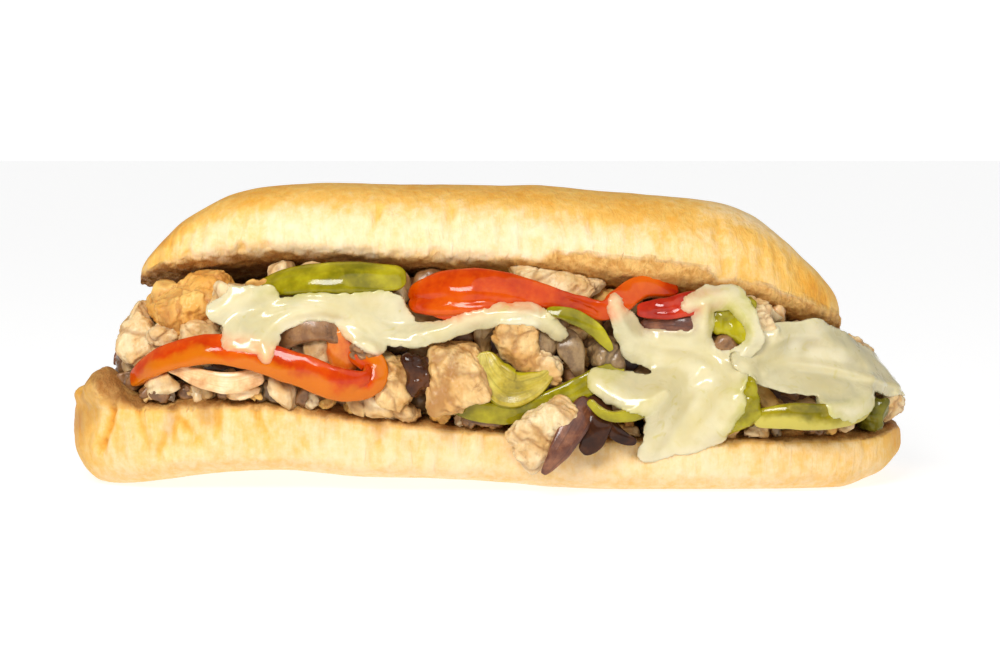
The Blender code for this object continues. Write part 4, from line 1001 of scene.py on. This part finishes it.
# melted cheese: strands of joined beads (along, up, radius), holes, turn and thickness
cheeses = {
    "cheese_left": ([[(-72, 50, 4.5), (-67, 49, 6), (-62, 52, 5), (-55, 54, 4), (-48, 55, 4), (-43, 54, 4.5),
                      (-37, 50.5, 4.2), (-30, 47.5, 3.8), (-22, 46.5, 3.4), (-14, 48, 3), (-6, 51, 3),
                      (2, 53, 3.2), (9, 53, 3.2), (15, 50.5, 3), (18, 47.5, 2.2)],
                     [(-67, 49, 6), (-64, 46, 3.6), (-64.5, 41, 2)],
                     [(-72, 50, 4.5), (-74, 45, 3.2), (-69, 44.5, 3.2)],
                     [(-78, 53.5, 3.4), (-73, 56, 4.5), (-65, 57, 4)], [(-38, 55, 4), (-30, 54, 5), (-26, 50, 3.2)],
                     [(-43, 54, 4), (-41, 48, 2.6), (-37.5, 45.5, 2.4), (-33, 43.5, 2.4)]], [], 0, 1.6),
    "cheese_centre": ([[(34, 56, 2.2), (36.5, 50, 3.6), (40, 44, 5), (46, 42, 6), (54, 42, 6.5), (61, 43, 6),
                        (66, 37, 6), (62, 31, 8), (54, 32, 9), (50, 25, 8), (48, 17, 6), (44.5, 13.5, 3.6)],
                       [(50, 25, 8), (54, 17.5, 6), (60, 21, 7), (65, 28, 6)],
                       [(55, 55.5, 2.4), (62, 57, 4), (68, 57, 3.6), (71.5, 52, 2.8), (73, 46, 3.4), (68, 40, 4)],
                       [(60, 55, 3), (59, 50, 3.4), (60, 44, 4)],
                       [(30, 33.5, 4), (37, 31, 5), (44, 30, 6)]], [(66.3, 46.8, 4.6)], 0, 1.8),
    "cheese_right": ([[(28, 39, 3), (34, 38.5, 5), (43, 39, 5.5), (54, 38, 6), (65, 35, 5.5), (76, 31.5, 4.6),
                       (84, 29.5, 3.8), (92, 28, 2.4)],
                      [(65, 34, 5), (60, 28, 5), (54, 25, 4), (47, 26, 3)],
                      [(31, 36, 3), (38, 34.5, 4), (47, 33, 4), (56, 31, 4)],
                      [(34, 40, 4), (41, 45, 4.5), (53, 44.5, 5.5), (65, 40.5, 5), (75, 36.5, 4.2), (84, 32, 3)]],
                     [], 40, 1.6),
    "cheese_back": ([[(16, 38, 3), (4, 40, 5), (-8, 42, 6), (-20, 40, 6.5), (-30, 37, 5), (-40, 36, 3)],
                     [(-8, 42, 6), (-6, 34, 4.5), (-4, 28, 3)],
                     [(-20, 40, 6), (-24, 33, 4.5), (-22, 26, 3.5)]], [], 180, 1.7),
}
# raised lines where the cheese is pulled or folded: height, half width and points (along, up)
cheeseRidges = {
    "cheese_left": [(0.7, 1.0, [(-69, 52), (-62, 55), (-54, 56.5), (-47, 56), (-40, 52.5), (-30, 48.5), (-22, 47.5)]),
                    (0.6, 0.9, [(-66, 46), (-63, 50), (-57, 53), (-48, 54), (-41, 51.5), (-32, 46), (-24, 45.5)]),
                    (0.5, 0.8, [(-24, 47), (-15, 49), (-7, 52), (2, 54), (9, 54), (15, 51)]),
                    (0.5, 1.0, [(-69, 47), (-65, 44), (-64.5, 40)])],
    "cheese_centre": [(0.7, 1.2, [(36, 51), (40, 46), (47, 43), (56, 42), (62, 40), (66, 36)]),
                      (0.8, 1.5, [(60, 34), (55, 30), (51, 24), (47, 17)]),
                      (0.6, 1.2, [(64, 30), (61, 24), (57, 18)]),
                      (0.8, 1.3, [(60, 55), (60, 50), (61, 45), (64, 41), (69, 41), (72.5, 45), (71.5, 51),
                                  (67, 55)]),
                      (0.5, 1.0, [(33, 33.5), (40, 30.5), (47, 29), (52, 26)])],
    "cheese_right": [(0.9, 1.1, [(34, 36), (43, 38), (52, 37), (62, 34.5), (72, 31), (82, 28.5)]),
                     (-0.7, 0.9, [(45, 35.5), (54, 34.5), (64, 31.5), (70, 29)]),
                     (0.6, 1.2, [(50, 27), (57, 27.5), (63, 30), (67, 33)]),
                     (0.5, 1.0, [(36, 44), (44, 46), (53, 45), (62, 42)])],
    "cheese_back": [(0.7, 1.1, [(14, 39), (2, 42), (-9, 43), (-20, 42), (-32, 38)])],
}
# thin, watery places: along, up and radius
cheeseThin = {"cheese_right": [(50, 44, 9), (62, 41, 6)], "cheese_centre": [(37, 49, 4.5), (70, 52, 5)],
              "cheese_left": [(-72, 50, 6), (-27, 51, 5), (9, 52, 4)], "cheese_back": []}
cheeseDetail = {"step": 0.5, "margin": 3, "blunt": 1.4, "passes": 220, "softer": 26, "drape": 3.5, "dip": 2.2,
                "round": 1.8, "sunk": 0.9, "ragged": 0.8, "folds": 0.22, "thinner": 0.64, "clear": 0.4,
                "thinEdge": 3.1, "startAt": 160, "nothing": -60.0}
# screen tones of what shows through thin cheese, by the material below it; the tone over a hollow is painted shade of
# the gap below
underTones = {name: fromScreen(*tone) for name, tone in {
    "redSkin": (226, 120, 70), "redPeeled": (226, 120, 70), "greenSkin": (186, 178, 76),
    "greenPeeled": (190, 184, 84), "greenFlesh": (196, 186, 90), "redFlesh": (226, 150, 80),
    "mushroom": (176, 160, 126), "mushroomGrey": (172, 162, 132), "sauce": (168, 146, 104),
    "onionSkin": (178, 150, 124), "shadedRedSkin": (206, 120, 84), "onionBlack": (150, 132, 100),
    "darkGreenSkin": (150, 146, 80), "plain": (228, 218, 188), "hollow": (202, 192, 152)}.items()}


def strandDistance(x, z, strands, holes):
    # distance from points to the edge of the melted cheese, negative inside it
    nearest = np.full(np.shape(x), 1e9)
    for strand in strands:
        for (xa, za, ra), (xb, zb, rb) in zip(strand, strand[1:]):
            run = (xb - xa) ** 2 + (zb - za) ** 2
            t = np.clip(((x - xa) * (xb - xa) + (z - za) * (zb - za)) / run, 0, 1)
            reach = np.hypot(x - xa - t * (xb - xa), z - za - t * (zb - za)) - (ra + t * (rb - ra))
            nearest = np.minimum(nearest, reach)
    for xh, zh, rh in holes:
        nearest = np.maximum(nearest, rh - np.hypot(x - xh, z - zh))
    return nearest


def spreadMost(level, reach):
    # the most over a round patch about each point
    best = level.copy()
    for i in range(-reach, reach + 1):
        for k in range(-reach, reach + 1):
            if i * i + k * k <= reach * reach:
                best = np.maximum(best, np.roll(np.roll(level, i, 0), k, 1))
    return best


def neighbourMean(level, passes=1):
    for _ in range(passes):
        padded = np.pad(level, 1, mode="edge")
        level = (padded[2:, 1:-1] + padded[:-2, 1:-1] + padded[1:-1, 2:] + padded[1:-1, :-2]) / 4
    return level


def roughGrid(us, zs, shift, size, octaves, stretch=1):
    return np.array([[rough(Vector((u * stretch, z, shift)), size, octaves) for z in zs[0]] for u in us[:, 0]])


def findSurface(bodies):
    # one search tree over all the pieces as they are finished
    graph = bpy.context.evaluated_depsgraph_get()
    graph.update()
    corners, faces, tones = [], [], []
    for body in bodies:
        mesh = body.evaluated_get(graph).to_mesh()
        looks = [underTones.get(material.name, underTones["plain"]) for material in body.data.materials]
        tones.extend(looks[face.material_index] for face in mesh.polygons)
        first = len(corners)
        corners.extend(vert.co.copy() for vert in mesh.vertices)
        faces.extend([first + k for k in face.vertices] for face in mesh.polygons)
        body.evaluated_get(graph).to_mesh_clear()
    return BVHTree.FromPolygons(corners, faces), tones


def seeBelow(us, zs, along, facing, surface):
    # how far the pieces below stand out at each point of the grid, and the tone that they give thin cheese
    tree, tones = surface
    raw = np.full(us.shape, cheeseDetail["nothing"])
    below = np.tile(np.array(underTones["plain"]), (*us.shape, 1))
    for i, k in np.ndindex(us.shape):
        start = (along * us[i, k] + facing * cheeseDetail["startAt"] + Vector((0, 0, zs[i, k])) + frameShift) * mm
        place, _, face, _ = tree.ray_cast(start, -facing)
        if place is not None:
            raw[i, k] = (place / mm - frameShift).dot(facing)
            below[i, k] = tones[face]
    return raw, below


def drapeLevel(raw, edge, depth):
    # the middle of the sheet: taut over the high spots, and pressed on what lies below near its edge
    look = cheeseDetail
    wide = spreadMost(raw, round(look["blunt"] / look["step"]))
    inside = edge < look["step"]
    floorLevel = np.sort(wide[inside])[inside.sum() // 6]
    taut = np.maximum(wide, floorLevel)
    for _ in range(look["passes"]):
        taut = np.maximum(taut, neighbourMean(taut))
    taut = neighbourMean(taut, look["softer"])
    near = neighbourMean(np.maximum(raw, floorLevel), look["softer"])
    near = neighbourMean(np.maximum(near, taut - look["dip"]), look["softer"] // 2)
    share = np.clip(depth / look["drape"], 0, 1)
    share = share * share * (3 - 2 * share)
    return neighbourMean(near + (np.maximum(taut, near) - near) * share, 5)


def meltCheese(node, strands, holes, turn, thickness, ridges, surface):
    look = cheeseDetail
    step, margin = look["step"], look["margin"]
    facing = Vector((math.sin(math.radians(turn)), -math.cos(math.radians(turn)), 0))
    along = Vector((-facing.y, facing.x, 0))
    beads = [bead for strand in strands for bead in strand]
    lowU = min(u - r for u, z, r in beads) - margin
    lowZ = min(z - r for u, z, r in beads) - margin
    countU = int((max(u + r for u, z, r in beads) + margin - lowU) / step) + 1
    countZ = int((max(z + r for u, z, r in beads) + margin - lowZ) / step) + 1
    us, zs = np.meshgrid(lowU + np.arange(countU) * step, lowZ + np.arange(countZ) * step, indexing="ij")
    raw, below = seeBelow(us, zs, along, facing, surface)
    edge = strandDistance(us, zs, strands, holes) + roughGrid(us, zs, turn, 5.0, 3) * look["ragged"]
    depth = np.maximum(0.0, -edge)
    level = drapeLevel(raw, edge, depth)

    # where it is thin, and what shows through it there; over a hollow it shows a darker tone, painted shade of the
    # gap below
    hollow = np.clip((level - raw - 1.0) / 6.0, 0, 1)
    below += (np.array(underTones["hollow"]) - below) * hollow[:, :, None]
    below = np.stack([neighbourMean(below[:, :, c], 8) for c in range(3)], axis=2)
    patches = roughGrid(us, zs, turn + 40, 13.0, 3)
    thinness = 0.35 * neighbourMean(hollow, 8) + 0.9 * np.clip(1 - depth / look["thinEdge"], 0, 1)
    thinness += 0.5 * np.clip(patches, 0, 1)
    for u, z, radius in cheeseThin[node]:
        thinness += 0.8 * np.exp(-((us - u) ** 2 + (zs - z) ** 2) / radius**2)
    thinness = np.clip(thinness, 0, 1)

    # its upper side, with ridges, folds and a round edge
    ridge = np.zeros(us.shape)
    for height, wide, line in ridges:
        away = strandDistance(us, zs, [[(u, z, 0.0) for u, z in line]], []) / wide
        ridge += height * (np.exp(-away * away) - 0.4 * np.exp(-((away - 1.9) ** 2)))
    bulge = np.sqrt(1 - (1 - np.minimum(1, depth / look["round"])) ** 2)
    folds = roughGrid(us, zs, turn + 9, 6.0, 2, 0.7)
    upper = level + look["thinner"] * thickness * (0.15 + 0.85 * bulge) + (folds * look["folds"] + ridge) * bulge
    bare = np.where(depth > 0.5, spreadMost(raw, 1) + look["clear"], -99)
    for _ in range(4):
        # smooth, but always over what lies below
        upper = np.maximum(neighbourMean(upper), bare)
    lower = level - look["sunk"]

    shape = bmesh.new()
    bmesh.ops.create_grid(shape, x_segments=countU - 1, y_segments=countZ - 1, size=0.5)
    thin = shape.verts.layers.float.new("thin")
    under = shape.verts.layers.float_color.new("under")
    cell = shape.verts.layers.int.new("cell")
    for vert in shape.verts:
        i, k = round((vert.co.x + 0.5) * (countU - 1)), round((vert.co.y + 0.5) * (countZ - 1))
        vert.co = Vector((us[i, k], zs[i, k], lower[i, k]))
        vert[cell] = i * countZ + k
        vert[thin] = thinness[i, k]
        vert[under] = (*below[i, k], 1)
    trimEdge(shape, edge, cell, step)
    made = bmesh.ops.extrude_face_region(shape, geom=shape.faces[:])
    uppers = upper.ravel()
    for vert in [part for part in made["geom"] if isinstance(part, bmesh.types.BMVert)]:
        vert.co.z = uppers[vert[cell]]
    for vert in shape.verts:
        vert.co = along * vert.co.x + Vector((0, 0, vert.co.y)) + facing * vert.co.z
    bmesh.ops.recalc_face_normals(shape, faces=shape.faces)
    addPiece(node, shape, ["cheese"])


def trimEdge(shape, edge, cell, step):
    # cuts the grid along the cheese's edge, and moves the cut corners onto it
    edges = edge.ravel()
    outside = [face for face in shape.faces if sum(edges[v[cell]] < 0.3 * step for v in face.verts) < 3]
    bmesh.ops.delete(shape, geom=outside, context="FACES")
    while pinched := [vert for vert in shape.verts if sum(e.is_boundary for e in vert.link_edges) > 2]:
        # two faces that touch at one corner only would not close
        faces = {min(vert.link_faces, key=lambda face: len([e for e in face.edges if not e.is_boundary]))
                 for vert in pinched}
        bmesh.ops.delete(shape, geom=list(faces), context="FACES")
    slopeU, slopeZ = np.gradient(edge, step)
    for vert in shape.verts:
        if vert.is_boundary:
            i, k = divmod(vert[cell], edge.shape[1])
            move = max(-0.6 * step, min(0.6 * step, -edge[i, k]))
            vert.co.x += slopeU[i, k] * move
            vert.co.y += slopeZ[i, k] * move


finishes = makeMaterials()
addCamera()
addLights()
addWorld()
addFloor()
say("camera, light and materials")
bakeBread("bun_bottom", bottomPoint, bottomRelief)
bakeBread("bun_top", topPoint, topRelief)
say("roll")
chopPieces()
say("chopped pieces")
cutStrips()
say("strips")
pileFilling()
say("heap")
surface = findSurface(pieces)
say("surface")
for node, (strands, holes, turn, thickness) in cheeses.items():
    meltCheese(node, strands, holes, turn, thickness, cheeseRidges[node], surface)
say("cheese")

graph = bpy.context.evaluated_depsgraph_get()
graph.update()
counts = {piece.name: len(piece.evaluated_get(graph).to_mesh().loop_triangles) for piece in pieces}
say("triangles %d, most %s" % (sum(counts.values()), sorted(counts.items(), key=lambda pair: -pair[1])[:6]))
